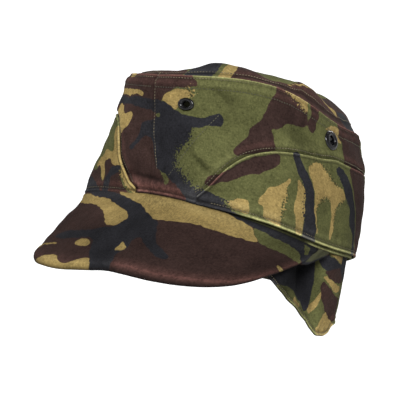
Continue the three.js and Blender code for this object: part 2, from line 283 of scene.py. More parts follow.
@dataclass(frozen=True)
class Chart:
    """The print on one piece of cloth, and where it is made lighter or darker.

    Where no patch lies the cloth shows its ground, or the base ink if one is named. Rows of tone are along,
    up, spread and share: the colour is multiplied by one plus the share's bell, less the depth. Besides
    uneven tone, the rows paint shade in creases and under other pieces, and highlights on folds.
    """

    strokes: tuple[Stroke | Patch, ...]
    base: Ink | None = None
    wander: float = 0.35
    tones_and_painted_light: Rows = ()
    depth: float = 0.0

    def tone(self, along: Array, up: Array) -> Array:
        """Add up the tones and painted light: each row is its share times the bell of the distance to it.

        Args:
            along: points' place along the cloth, in millimetres.
            up: points' place up the cloth, in millimetres.

        Returns:
            What is added to one before the colour is multiplied.
        """
        total = np.full(np.shape(along), -self.depth)
        for x, y, spread, share in self.tones_and_painted_light:
            total = total + share * bell(np.hypot(along - x, up - y), spread)
        return total

    def read(self, along: Array, up: Array) -> dict[Ink, Array]:
        """Read each ink's signed distance, which is below nothing inside its patches.

        The points are first shifted by a small slow wave, so that outlines look drawn by hand.

        Args:
            along: points' place along the cloth, in millimetres.
            up: points' place up the cloth, in millimetres.

        Returns:
            For each ink, rows of distance and brush width, both in millimetres.
        """
        x = along + self.wander * waver(along, up, 9, 3)
        y = up + self.wander * waver(along, up, 8, 4)
        found = {}
        for ink in Ink:
            nearest = np.full(np.shape(along), -FAR if ink is self.base else FAR)
            brush = np.zeros(np.shape(along))
            for stroke in (s for s in self.strokes if s.ink is ink):
                distance, width = stroke.measure(x, y)
                nearer = distance < nearest
                nearest = np.where(nearer, distance, nearest)
                brush = np.where(nearer, width, brush)
            found[ink] = np.stack([nearest, brush], -1)
        return found

    def with_copies(self, *moves: tuple[float, float, bool]) -> "Chart":
        """Return the chart with its strokes printed again at each (along, up, flip)."""
        copies = tuple(s.moved(*move) for move in moves for s in self.strokes)
        return replace(self, strokes=self.strokes + copies)


@dataclass(frozen=True)
class Fold:
    """A crease or a ridge: a chain of along, up and height out of the cloth, with one width."""

    nodes: Rows
    width: float

    def height(self, along: Array, up: Array) -> Array:
        """Give the chain's height times the bell of the distance to it."""
        distance, height = chain_distance(along, up, self.nodes)
        return height * bell(distance, self.width)


def fold_height(folds: tuple[Fold, ...], along: Array, up: Array) -> Array:
    """Add up the heights of several folds."""
    return sum((fold.height(along, up) for fold in folds), np.zeros(np.shape(along)))


# Meshes

LINING_FROM = (0.75, 0.99)
LINING_SHIFT = 7


def stations(start: float, end: float, step: float, edge: float) -> Array:
    """Make even steps from start to end, with finer ones where a rounded edge turns over.

    Args:
        start: first place.
        end: last place.
        step: length of the even steps.
        edge: how far in from both ends the edge's rounding reaches.

    Returns:
        The places, rising.
    """
    turn = edge * (1 - np.cos(np.linspace(0, np.pi / 2, 5)))
    middle = np.linspace(start + edge, end - edge, max(int(round((end - start - 2 * edge) / step)), 2) + 1)
    return np.concatenate([start + turn[:-1], middle, (end - turn[:-1])[::-1]])


def rounded(distance: Array, edge: float, thickness: float) -> Array:
    """Give half the cloth's thickness near an edge, along a quarter ellipse from nothing at the edge."""
    share = 1 - np.clip(distance / edge, 0, 1)
    return thickness / 2 * np.sqrt(np.maximum(1 - share ** 2, 0))


def closed(half: Array) -> Array:
    """Bring a sheet's thickness to nothing on the outline of its grid, in a copy."""
    return np.pad(half[1:-1, 1:-1], 1)


@dataclass
class Sheet:
    """A closed sheet of cloth on a grid of columns and rows.

    It has the middle surface, the direction square to it, half the thickness and the place on the cloth. A
    hole is a column, a row and a reach in steps.
    """

    middle: Array
    square: Array
    half: Array
    along: Array
    up: Array
    chart: Chart
    wear: Array
    shade: Array
    holes: tuple[Hole, ...] = ()

    def grids(self) -> tuple[Array, NDArray, NDArray]:
        """Place the vertices of both faces, which share the outline.

        Returns:
            The vertices, and the vertex numbers of the outer and of the inner grid.
        """
        columns, rows = self.half.shape
        outer = np.arange(columns * rows).reshape(columns, rows)
        inner = outer.copy()
        inner[1:-1, 1:-1] = columns * rows + np.arange((columns - 2) * (rows - 2)).reshape(columns - 2, -1)
        reach = self.square * self.half[..., None]
        front = (self.middle + reach).reshape(-1, 3)
        back = (self.middle - reach)[1:-1, 1:-1].reshape(-1, 3)
        return np.concatenate([front, back]), outer, inner


def grid_faces(numbers: NDArray) -> NDArray:
    """List a grid's quads as rows of four vertex numbers."""
    a, b, c, d = numbers[:-1, :-1], numbers[1:, :-1], numbers[1:, 1:], numbers[:-1, 1:]
    return np.stack([a, b, c, d], -1).reshape(-1, 4)


def ring_round(block: NDArray) -> NDArray:
    """List the numbers on a square block's outline, in order."""
    return np.concatenate([block[:-1, 0], block[-1, :-1], block[:0:-1, -1], block[0, :0:-1]])


def turned_outwards(points: Array, faces: NDArray) -> NDArray:
    """Reverse the quads of a closed mesh if its volume, summed over its triangles, comes out below nothing.

    Args:
        points: vertices, n by 3.
        faces: quads, all turned the same way.

    Returns:
        The quads, facing outwards.
    """
    a, b, c, d = (points[faces[:, k]] for k in range(4))
    volume = (np.cross(a, b) * c).sum() + (np.cross(a, c) * d).sum()
    return faces if volume > 0 else faces[:, ::-1]


def mesh_object(name: str, points: Array, faces: NDArray, material: bpy.types.Material) -> bpy.types.Object:
    """Make a smooth shaded object at the origin, from points in millimetres.

    Args:
        name: the piece's name.
        points: vertices, n by 3.
        faces: quads, whose last two numbers are alike in a triangle.
        material: its finish.

    Returns:
        The new object, in the scene.
    """
    mesh = bpy.data.meshes.new(name)
    faces = turned_outwards(points, faces)
    mesh.from_pydata((points * MM).tolist(), [], faces.tolist())
    mesh.validate()
    mesh.shade_smooth()
    mesh.materials.append(material)
    made = bpy.data.objects.new(name, mesh)
    bpy.context.scene.collection.objects.link(made)
    return made


def dress(piece: bpy.types.Object, slot: str, *nodes: str) -> bpy.types.Object:
    """Let a piece ride with the cap and stand for its nodes.

    Args:
        piece: the piece.
        slot: not used.
        nodes: the nodes that it stands for.

    Returns:
        The same piece.
    """
    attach(piece, "root")
    if nodes:
        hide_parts(*nodes)
    LOG.info("%s: %d faces", piece.name, len(piece.data.polygons))
    return piece


def sheet_object(name: str, sheet: Sheet, material: bpy.types.Material) -> bpy.types.Object:
    """Make a sheet's object, with its print, wear, painted shade, tones and painted light, and face written
    as attributes.

    A hole is a square block of quads, whose outline was rounded beforehand. Its quads are left out on both
    faces, and a ring of quads joins the two outlines through the cloth. The lower face counts as the inside
    where the cloth is nearly at its full thickness, so that a turned edge keeps its print.

    Args:
        name: the piece's name.
        sheet: the sheet.
        material: its finish.

    Returns:
        The new object.
    """
    points, outer, inner = sheet.grids()
    front, back = grid_faces(outer), grid_faces(inner)[:, ::-1]
    kept = np.ones((outer.shape[0] - 1, outer.shape[1] - 1), bool)
    bridges = []
    for i, j, reach in sheet.holes:
        kept[i - reach:i + reach, j - reach:j + reach] = False
        block = np.s_[i - reach:i + reach + 1, j - reach:j + reach + 1]
        near, far = ring_round(outer[block]), ring_round(inner[block])
        bridges.append(np.stack([far, np.roll(far, -1), np.roll(near, -1), near], -1))
    faces = np.concatenate([front[kept.ravel()], back[kept.ravel()], *bridges])
    used = np.unique(faces)
    renumber = np.full(len(points), -1)
    renumber[used] = np.arange(len(used))
    made = mesh_object(name, points[used], renumber[faces], material)

    def both(values: Array) -> Array:
        """Copy a grid's values to the vertices of both faces."""
        flat = values.reshape(-1, *values.shape[2:])
        return np.concatenate([flat, values[1:-1, 1:-1].reshape(-1, *values.shape[2:])])[used]

    for ink, values in sheet.chart.read(both(sheet.along), both(sheet.up)).items():
        layer = made.data.attributes.new(ink.value, "FLOAT_VECTOR", "POINT")
        padded = np.concatenate([values, np.zeros((len(values), 1))], -1)
        layer.data.foreach_set("vector", padded.astype(np.float32).ravel())
    thick = sheet.half[1:-1, 1:-1] / np.max(sheet.half)
    lining = np.zeros(len(points))
    lining[sheet.half.size:] = smooth_step(*LINING_FROM, thick).ravel()
    lining = lining[used]
    tone = sheet.chart.tone(both(sheet.along), both(sheet.up))
    numbers = {"wear": both(sheet.wear), "shade": both(sheet.shade), "inside": lining, "tone": tone}
    for attribute, values in numbers.items():
        layer = made.data.attributes.new(attribute, "FLOAT", "POINT")
        layer.data.foreach_set("value", values.astype(np.float32))
    chart = made.data.attributes.new("cloth_place", "FLOAT_VECTOR", "POINT")
    place = np.stack([both(sheet.along), both(sheet.up), lining * LINING_SHIFT], -1)
    chart.data.foreach_set("vector", place.astype(np.float32).ravel())
    return made


# The shape of the cap, as its frame has it

@dataclass(frozen=True)
class CrownForm:
    """The upright wall's outer face, by the angle round from the front and the level up from the rim.

    The level is 0 at the rim and 1 at the top edge. Sizes at the rim, the middle and the top are joined by
    the parabola through the three. A dent is an angle, a level, its spread in each, and a depth. The roll is
    how far the top edge leans in, and it is greatest at one angle.
    """

    half_width: tuple[float, float, float] = (88.5, 85.0, 73.0)
    front_reach: tuple[float, float, float] = (85.0, 95.5, 104.0)
    back_reach: tuple[float, float, float] = (92.0, 96.5, 89.5)
    squareness: tuple[float, float, float] = (3.9, 2.4, 2.1)
    centre_y: tuple[float, float, float] = (-4.25, -5.0, -5.75)
    back_squareness: float = 2.15
    rim_heights: tuple[float, ...] = (10.8, 5.6, -2.5, -3.7, -9.2)
    top_heights: tuple[float, ...] = (87.2, 93.7, 84.9, 85.8, 80.8)
    dents: Rows = ((36, 0.4, 7, 0.14, 1.4), (0, 0.3, 14, 0.16, 1.2), (66, 0.74, 9, 0.1, 1.8),
                   (150, 0.8, 16, 0.14, 2.0), (-70, 0.76, 14, 0.12, 1.8), (-140, 0.45, 14, 0.2, 1.6),
                   (-36, 0.46, 17, 0.3, 3.2), (124, 0.3, 26, 0.42, 2.0))
    roll: float = 3.4
    roll_at: float = -22.0
    roll_spread: float = 42.0
    roll_height: float = 8.0
    least_roll: float = 0.5

    def section(self, values: tuple[float, float, float], level: Array) -> Array:
        """Read the parabola through a size's three values.

        Args:
            values: the size at the rim, the middle and the top.
            level: levels to read at.

        Returns:
            The size at each level.
        """
        rim, middle, top = values
        low = rim * (1 - level) * (1 - 2 * level)
        return low + middle * 4 * level * (1 - level) + top * level * (2 * level - 1)

    def edge_height(self, heights: tuple[float, ...], angle: Array) -> Array:
        """Read the sum of cosines through heights that stand evenly from front to back.

        Args:
            heights: heights above the origin, from centre front to centre back.
            angle: angles round the cap to read at, in degrees.

        Returns:
            The height at each angle.
        """
        steps = len(heights) - 1
        half = np.array([0.5] + [1.0] * (steps - 1) + [0.5])
        order = np.arange(steps + 1)
        total = np.zeros(np.shape(angle))
        for k in order:
            weight = (half * np.array(heights) * np.cos(np.pi * order * k / steps)).sum()
            total = total + half[k] * 2 / steps * weight * np.cos(k * np.radians(angle))
        return total

    def wall_height(self, angle: Array) -> Array:
        """Give the height from the rim to the top edge."""
        return self.edge_height(self.top_heights, angle) - self.edge_height(self.rim_heights, angle)

    def face(self, angle: Array, level: Array) -> Array:
        """Place points: a superellipse in plan, less the dents, whose size and centre go with the level.

        Args:
            angle: angle round the cap, in degrees, nothing at centre front and rising towards the left.
            level: level up the wall.

        Returns:
            Points on the face.
        """
        angle, level = np.broadcast_arrays(np.asarray(angle, float), np.asarray(level, float))
        s, c = np.sin(np.radians(angle)), np.cos(np.radians(angle))
        ahead = c > 0
        reach = np.where(ahead, self.section(self.front_reach, level), self.section(self.back_reach, level))
        power = np.where(ahead, self.section(self.squareness, level), self.back_squareness)
        width = self.section(self.half_width, level)
        radius = (np.abs(s / width) ** power + np.abs(c / reach) ** power) ** (-1 / power)
        turned = (angle + 180) % 360 - 180
        for at, up, spread, rise, depth in self.dents:
            radius = radius - depth * bell((turned - at) / spread, 1) * bell((level - up) / rise, 1)
        down = (1 - level) * self.wall_height(angle)
        rolled = self.roll * bell((turned - self.roll_at) / self.roll_spread, 1) + self.least_roll
        radius = radius - rolled * np.clip(1 - down / self.roll_height, 0, 1.2) ** 2
        rim, top = self.edge_height(self.rim_heights, angle), self.edge_height(self.top_heights, angle)
        height = (1 - level) * rim + level * top
        return np.stack([radius * s, self.section(self.centre_y, level) - radius * c, height], -1)

    def normal(self, angle: Array, level: Array) -> Array:
        """Give the face's square direction, outwards: the cross product of its two slopes.

        Args:
            angle: angle round the cap.
            level: level up the wall.

        Returns:
            Unit vectors.
        """
        around = self.face(np.add(angle, 0.5), level) - self.face(np.subtract(angle, 0.5), level)
        up = self.face(angle, np.add(level, 0.01)) - self.face(angle, np.subtract(level, 0.01))
        square = np.cross(around, up)
        return square / np.linalg.norm(square, axis=-1, keepdims=True)

    def point(self, angle: Array, level: Array, out: Array) -> Array:
        """Place points at a distance out from the face."""
        return self.face(angle, level) + self.normal(angle, level) * np.asarray(out)[..., None]

    def lengths(self, level: float) -> tuple[Array, Array]:
        """Tabulate the length of the face's line at one level, from centre front.

        Args:
            level: level of the line.

        Returns:
            Angles both ways round, and the length at each.
        """
        angle = np.linspace(-360, 360, 2881)
        steps = np.linalg.norm(np.diff(self.face(angle, level), axis=0), axis=1)
        length = np.concatenate([[0], np.cumsum(steps)])
        return angle, length - np.interp(0, angle, length)

    def along(self, angle: Array, level: float = 0.5) -> Array:
        """Give the length round from centre front, at half height unless a level is given."""
        return np.interp(angle, *self.lengths(level))

    def slant(self, edge: Rows, angle: Array) -> Array:
        """Give the rise of an edge per length round the rim, from two degrees of it.

        Args:
            edge: rows of angle and the edge's distance from the rim.
            angle: angles to measure at.

        Returns:
            The rises.
        """
        after, before = np.asarray(angle) + 1, np.asarray(angle) - 1
        rise = smooth_table(edge, after) - smooth_table(edge, before)
        return rise / (self.along(after, 0) - self.along(before, 0))

    def angle_at(self, length: Array, level: float = 0.5) -> Array:
        """Give the angle at a length round from centre front."""
        angle, lengths = self.lengths(level)
        return np.interp(length, lengths, angle)


@dataclass(frozen=True)
class BandEdge:
    """The curved upper edge of a turned-up band, on one side of the cap, and its foot."""

    levels: Rows
    side: int
    foot_level: float = -0.012
    foot_rise: float = 0.042

    def level(self, angle: Array) -> Array:
        """Read the upper edge's level."""
        return smooth_table(self.levels, angle * self.side)

    def foot(self, angle: Array) -> Array:
        """Give the foot's level, which rises towards the side."""
        return self.foot_level + self.foot_rise * np.sin(np.radians(angle * self.side))

    def line(self, crown: CrownForm, count: int = 90) -> Array:
        """Chart the edge as rows of length round and height up the wall, front end first."""
        angle = np.linspace(self.levels[0][0], 180, count) * self.side
        return np.stack([crown.along(angle), self.level(angle) * crown.wall_height(angle)], -1)

    def above(self, crown: CrownForm, along: Array, up: Array) -> Array:
        """Measure how far points stand above the edge, and below nothing when under the band.

        Args:
            crown: the wall on which the band lies.
            along: points' length round.
            up: points' height above the rim.

        Returns:
            Signed distance to the edge's line.
        """
        line = self.line(crown)
        distance, _ = chain_distance(along, up, tuple((x, y, 0.0) for x, y in line))
        order = np.argsort(line[:, 0])
        left, right = (-FAR, None) if self.side > 0 else (None, -FAR)
        edge = np.interp(along, line[order, 0], line[order, 1], left=left, right=right)
        return np.where(up > edge, distance, -distance)


@dataclass(frozen=True)
class EyeletPlace:
    """Where an eyelet sits on the wall, its share of the full radii, and the radius of a full hole."""

    name: str
    angle: float
    level: float
    share: float
    hole: float = 4.1


# The fine lines on every cloth piece: rows of thread

@dataclass
class StitchRow:
    """Rows of short raised threads that dive into the cloth at both ends."""

    pitch: float = 1.95
    length: float = 1.3
    radius: float = 0.24
    sides: int = 5
    rings: Rows = ((-1.0, 0.55, -0.5), (-0.6, 1.0, 0.35), (0.6, 1.0, 0.35), (1.0, 0.55, -0.5))
    points: list[Array] = field(default_factory=list)
    faces: list[NDArray] = field(default_factory=list)
    count: int = 0

    def lay(self, path: Array, square: Array) -> None:
        """Lay one row along a path.

        Every stitch is four rings of thread and two tips. A ring's radius and its height off the cloth go
        with its place along the stitch, and the whole follows the path's direction at the stitch's middle.

        Args:
            path: closely spaced points on the cloth, n by 3.
            square: the cloth's outward direction at each.
        """
        walked = np.concatenate([[0], np.cumsum(np.linalg.norm(np.diff(path, axis=0), axis=1))])
        at = np.arange(self.pitch / 2, walked[-1] - self.length / 2, self.pitch)

        def read(values: Array, where: Array) -> Array:
            """Read vectors at lengths along the path."""
            return np.stack([np.interp(where, walked, values[:, k]) for k in range(3)], -1)

        middle = read(path, at)
        ahead = read(path, at + self.length / 2) - read(path, at - self.length / 2)
        ahead /= np.linalg.norm(ahead, axis=1, keepdims=True)
        up = read(square, at)
        across = np.cross(ahead, up)
        across /= np.linalg.norm(across, axis=1, keepdims=True)
        up = np.cross(across, ahead)
        turn = np.linspace(0, 2 * np.pi, self.sides, endpoint=False)
        made = []
        for place, width, lift in self.rings:
            centre = middle + ahead * place * self.length / 2 + up * lift * self.radius
            around = across[:, None] * np.cos(turn)[:, None] + up[:, None] * np.sin(turn)[:, None]
            made.append(centre[:, None] + around * self.radius * width)
        tips = [middle + s * ahead * self.length * 0.6 - up * self.radius for s in (-1, 1)]
        points = np.concatenate(made + [tip[:, None] for tip in tips], 1)
        each = points.shape[1]
        rings, n = len(self.rings), self.sides
        i = np.arange(n)
        j = (i + 1) % n
        starts = range(0, (rings - 1) * n, n)
        quads = [np.stack([r + i, r + j, r + n + j, r + n + i], -1) for r in starts]
        last = (rings - 1) * n
        near = np.stack([0 * i + rings * n, j, i, i], -1)
        far = np.stack([0 * i + rings * n + 1, last + i, last + j, last + j], -1)
        one = np.concatenate(quads + [near, far])
        first = self.count + each * np.arange(len(at))
        self.faces.append((one[None] + first[:, None, None]).reshape(-1, 4))
        self.points.append(points.reshape(-1, 3))
        self.count += each * len(at)

    def build(self, name: str, material: bpy.types.Material) -> bpy.types.Object:
        """Make one object of all the rows laid so far."""
        return mesh_object(name, np.concatenate(self.points), np.concatenate(self.faces), material)


# The pieces

def curled(inside: Array, reach: float) -> Array:
    """Give the share by which a turned edge drops: a quarter circle that starts a reach in from it."""
    curl = 1 - np.clip(inside / reach, 0, 1)
    return 1 - np.sqrt(1 - 0.98 * curl ** 2)


@dataclass
class CrownWall:
    """One half of the upright wall, from the front seam to the back seam.

    Rows of relief, wear and shade are a share, how far in from the edge, and a spread.
    """

    name: str
    side: int
    crown: CrownForm
    band: BandEdge
    chart: Chart
    folds: tuple[Fold, ...]
    eyelets: tuple[EyeletPlace, ...]
    cloth: float = 1.8
    step: float = 1.15
    seam: float = 0.05
    seam_turn: float = 0.45
    edge: float = 1.1
    hole_reach: int = 3
    warp_reach: int = 9
    mean_height: float = 80.0
    high_line: float = 2.0
    low_line: float = 8.6
    band_line: float = 2.1
    seam_line: float = 2.2
    swell_over_band: float = 1.9
    eyelet_flat: float = 9.0
    top_relief: Rows = ((0.3, 0.7, 0.8), (-0.4, 2.0, 0.6), (-0.35, 8.6, 0.8), (0.3, 5.2, 2.0))
    rim_relief: Rows = ((0.3, 0.8, 0.9), (-0.6, 3.0, 0.8), (0.8, 6.6, 2.4))
    top_wear: Rows = ((1.3, 0.4, 0.7), (0.2, 5.5, 1.6))
    rim_wear: Rows = ((0.8, 5.6, 1.9), (1.2, 2.0, 0.5), (0.3, 9.0, 3.0))
    top_shade: Rows = ((0.5, 2.0, 0.6), (0.35, 8.6, 0.7))
    bare_rim: tuple[float, float] = (114.0, 126.0)

    def cloth_place(self, angle: Array, level: Array) -> tuple[Array, Array]:
        """Chart points as length round and height above the rim."""
        return self.crown.along(angle), level * self.crown.wall_height(angle)

    def rise(self, angle: Array, level: Array) -> Array:
        """Sum up how far the soft wall stands out from its plain form.

        It swells over the band's edge, has a bead and two sewn grooves under its top edge, a roll and a
        crease above the rim, puckers along the seams, slow waves, and the charted folds. Under the band and
        at the eyelets it lies flat.

        Args:
            angle: angle round the cap.
            level: level up the wall.

        Returns:
            The distance out, in millimetres.
        """
        along, up = self.cloth_place(angle, level)
        down = self.crown.wall_height(angle) - up
        above = self.band.above(self.crown, along, up)
        over = smooth_step(0.2, 2.6, above) * self.swell_over_band * bell(np.maximum(above - 2.6, 0), 9)
        over = over - 0.35 * bell(above - self.band_line, 0.7)
        hems = ridges(down, self.top_relief) + ridges(up, self.rim_relief)
        pucker = waver(along, up * 0.25, 7.5, 11) * 0.22
        sewn = bell(down - 4, 5) + bell(up - 6, 4)
        sewn = sewn + 0.8 * bell(np.abs(along) - 1, 5) + 0.8 * bell(above - 3, 4)
        slow = 0.45 * waver(along, up, 36, 12) + 0.22 * waver(along, up, 15, 13)
        edges = smooth_step(0, 12, down) * smooth_step(0, 12, up)
        seam = -0.15 * bell(np.abs(along) - 1.8, 0.7)
        total = over + hems + seam + pucker * sewn + slow * edges + fold_height(self.folds, along, up)
        for eyelet in self.eyelets:
            at, height = self.cloth_place(np.array(eyelet.angle), np.array(eyelet.level))
            total = total * (1 - bell(np.hypot(along - at, up - height), self.eyelet_flat * eyelet.share))
        free = smooth_step(-1.2, 0.6, above)
        return total * free + np.minimum(total, 0) * (1 - free)

    def outer(self, angle: Array, level: Array) -> Array:
        """Place points on the finished outer face."""
        return self.crown.point(angle, level, self.rise(angle, level))

    def warped(self, angle: Array, level: Array, eyelet: EyeletPlace) -> tuple[Array, Array, Hole]:
        """Draw the grid into a round hole, by rounding off the square rings about its middle.

        A vertex that is m steps from the hole's middle, counted along the longer axis, moves to the circle of
        the hole's radius times m over the reach. That wears off with m until the grid is itself again.

        Args:
            angle: the grid's angles.
            level: the grid's levels.
            eyelet: the eyelet that fills the hole.

        Returns:
            The new angles and levels, and the hole as a column, a row and a reach.
        """
        i = int(np.argmin(np.abs(angle[:, 0] - eyelet.angle)))
        j = int(np.argmin(np.abs(level[i] - eyelet.level)))
        a, b = np.meshgrid(np.arange(angle.shape[0]) - i, np.arange(angle.shape[1]) - j, indexing="ij")
        steps = np.maximum(np.abs(a), np.abs(b))
        x, y = round_off(a, b)
        radius = eyelet.hole * eyelet.share * steps / self.hole_reach
        turn, rise = eyelet.angle, eyelet.level
        face = self.crown.face
        round_scale = np.linalg.norm(face(turn + 0.5, rise) - face(turn - 0.5, rise))
        up_scale = np.linalg.norm(face(turn, rise + 0.005) - face(turn, rise - 0.005)) * 100
        new_angle = turn + x * radius / round_scale * np.sign(angle[-1, 0] - angle[0, 0])
        new_level = rise + y * radius / up_scale
        blend = 1 - smooth_step(self.hole_reach, self.hole_reach + self.warp_reach, steps.astype(float))
        hole = (i, j, self.hole_reach)
        return angle + blend * (new_angle - angle), level + blend * (new_level - level), hole

    def build(self, material: bpy.types.Material) -> bpy.types.Object:
        """Make the wall: its middle surface, thickness, wear and print on one grid.

        Args:
            material: the cloth's finish.

        Returns:
            The wall's object.
        """
        end = self.crown.along(np.array(180.0))
        lengths = stations(self.seam, end - self.seam, self.step, self.seam_turn)
        columns = self.crown.angle_at(lengths) * self.side
        rows = stations(0, 1, self.step / self.mean_height, self.edge / self.mean_height)
        angle, level = np.meshgrid(columns, rows, indexing="ij")
        holes = []
        for eyelet in self.eyelets:
            angle, level, hole = self.warped(angle, level, eyelet)
            holes.append(hole)
        along, up = self.cloth_place(angle, level)
        height = self.crown.wall_height(angle)
        side_gap = np.minimum(np.abs(along) - self.seam, end - self.seam - np.abs(along))
        half = np.minimum(rounded(np.minimum(up, height - up), self.edge, self.cloth),
                          rounded(np.maximum(side_gap, 0), self.seam_turn, self.cloth))
        half = closed(half)
        square = self.crown.normal(angle, level)
        middle = self.crown.point(angle, level, self.rise(angle, level) - self.cloth / 2)
        wear, shade = self.wear_and_painted_shade(along, up, height - up)
        sheet = Sheet(middle, square, half, along, up, self.chart, wear, shade, tuple(holes))
        return dress(sheet_object(f"{self.name}_cloth", sheet, material), "camouflage_cotton", self.name)

    def wear_and_painted_shade(self, along: Array, up: Array, down: Array) -> tuple[Array, Array]:
        """Sum up where the wall is rubbed, and where shade is painted on it.

        The two hems and the swell over the band are rubbed. The sewn grooves, the front seam, the joint with
        the peak, a crease above it, and the gap along the band and the wall under it get painted shade.

        Args:
            along: points' length round from centre front.
            up: points' height above the rim.
            down: points' distance below the top edge.

        Returns:
            Wear up to 2, past 1 where threads are frayed, and painted shade up to 1.
        """
        above = self.band.above(self.crown, along, up)
        behind_peak = smooth_step(*self.bare_rim, np.abs(along))
        wear = ridges(down, self.top_wear) + ridges(up, self.rim_wear) + 0.2 * bell(above - 4.5, 2.0)
        wear = wear + 1.6 * behind_peak * bell(up - 0.9, 0.6)
        shade = ridges(down, self.top_shade) + 1.1 * (1 - behind_peak) * bell(up - 0.6, 0.9)
        shade = shade + 1.1 * bell(up - 11.2 + 0.1 * along, 1.5) * bell(along - 4, 16)
        gap = (1.0 if self.side > 0 else 0.3) * (1 - 0.8 * behind_peak * smooth_step(20, 10, up))
        shade = shade + gap * (0.8 * bell(above - 0.2, 0.7) + 0.9 * smooth_step(0.6, -0.8, above))
        shade = shade + 0.5 * bell(above - 2.2, 0.8) + 0.3 * bell(np.abs(along), 0.5)
        return np.clip(wear, 0, 2), np.clip(shade, 0, 1)

    def stitch(self, rows: StitchRow, dark_rows: StitchRow) -> None:
        """Lay the two rows under the top edge, one over the band's edge and one beside the back seam.

        Args:
            rows: rows of khaki thread.
            dark_rows: rows of dark thread, for the lower line under the top edge.
        """
        end = self.crown.along(np.array(180.0))
        angle = self.crown.angle_at(np.linspace(2.0, end - 2.0, 1500)) * self.side
        height = self.crown.wall_height(angle)
        self.lay(rows, angle, 1 - self.high_line / height)
        self.lay(dark_rows, angle, 1 - self.low_line / height)
        line = self.band.line(self.crown, 400)
        tangent = np.gradient(line, axis=0)
        tangent /= np.linalg.norm(tangent, axis=1, keepdims=True)
        over = line + self.band_line * np.stack([-tangent[:, 1], tangent[:, 0]], -1) * self.side
        keep = over[:, 1] > 7
        self.lay_chart(rows, over[keep])
        beside = end - self.seam_line
        self.lay_chart(rows, np.array([(beside, 8.0), (beside, 82.0)]) * (self.side, 1))

    def lay(self, rows: StitchRow, angle: Array, level: Array) -> None:
        """Lay one row through points of the wall."""
        rows.lay(self.outer(angle, level), self.crown.normal(angle, level))

    def lay_chart(self, rows: StitchRow, line: Array) -> None:
        """Lay one row along a line that is charted as length round and height up.

        Args:
            rows: the rows that it joins.
            line: corners of the line, n by 2.
        """
        walked = np.concatenate([[0], np.cumsum(np.linalg.norm(np.diff(line, axis=0), axis=1))])
        at = np.linspace(0, walked[-1], max(int(walked[-1] * 3), 8))
        along, up = (np.interp(at, walked, line[:, k]) for k in (0, 1))
        angle = self.crown.angle_at(along)
        self.lay(rows, angle, up / self.crown.wall_height(angle))


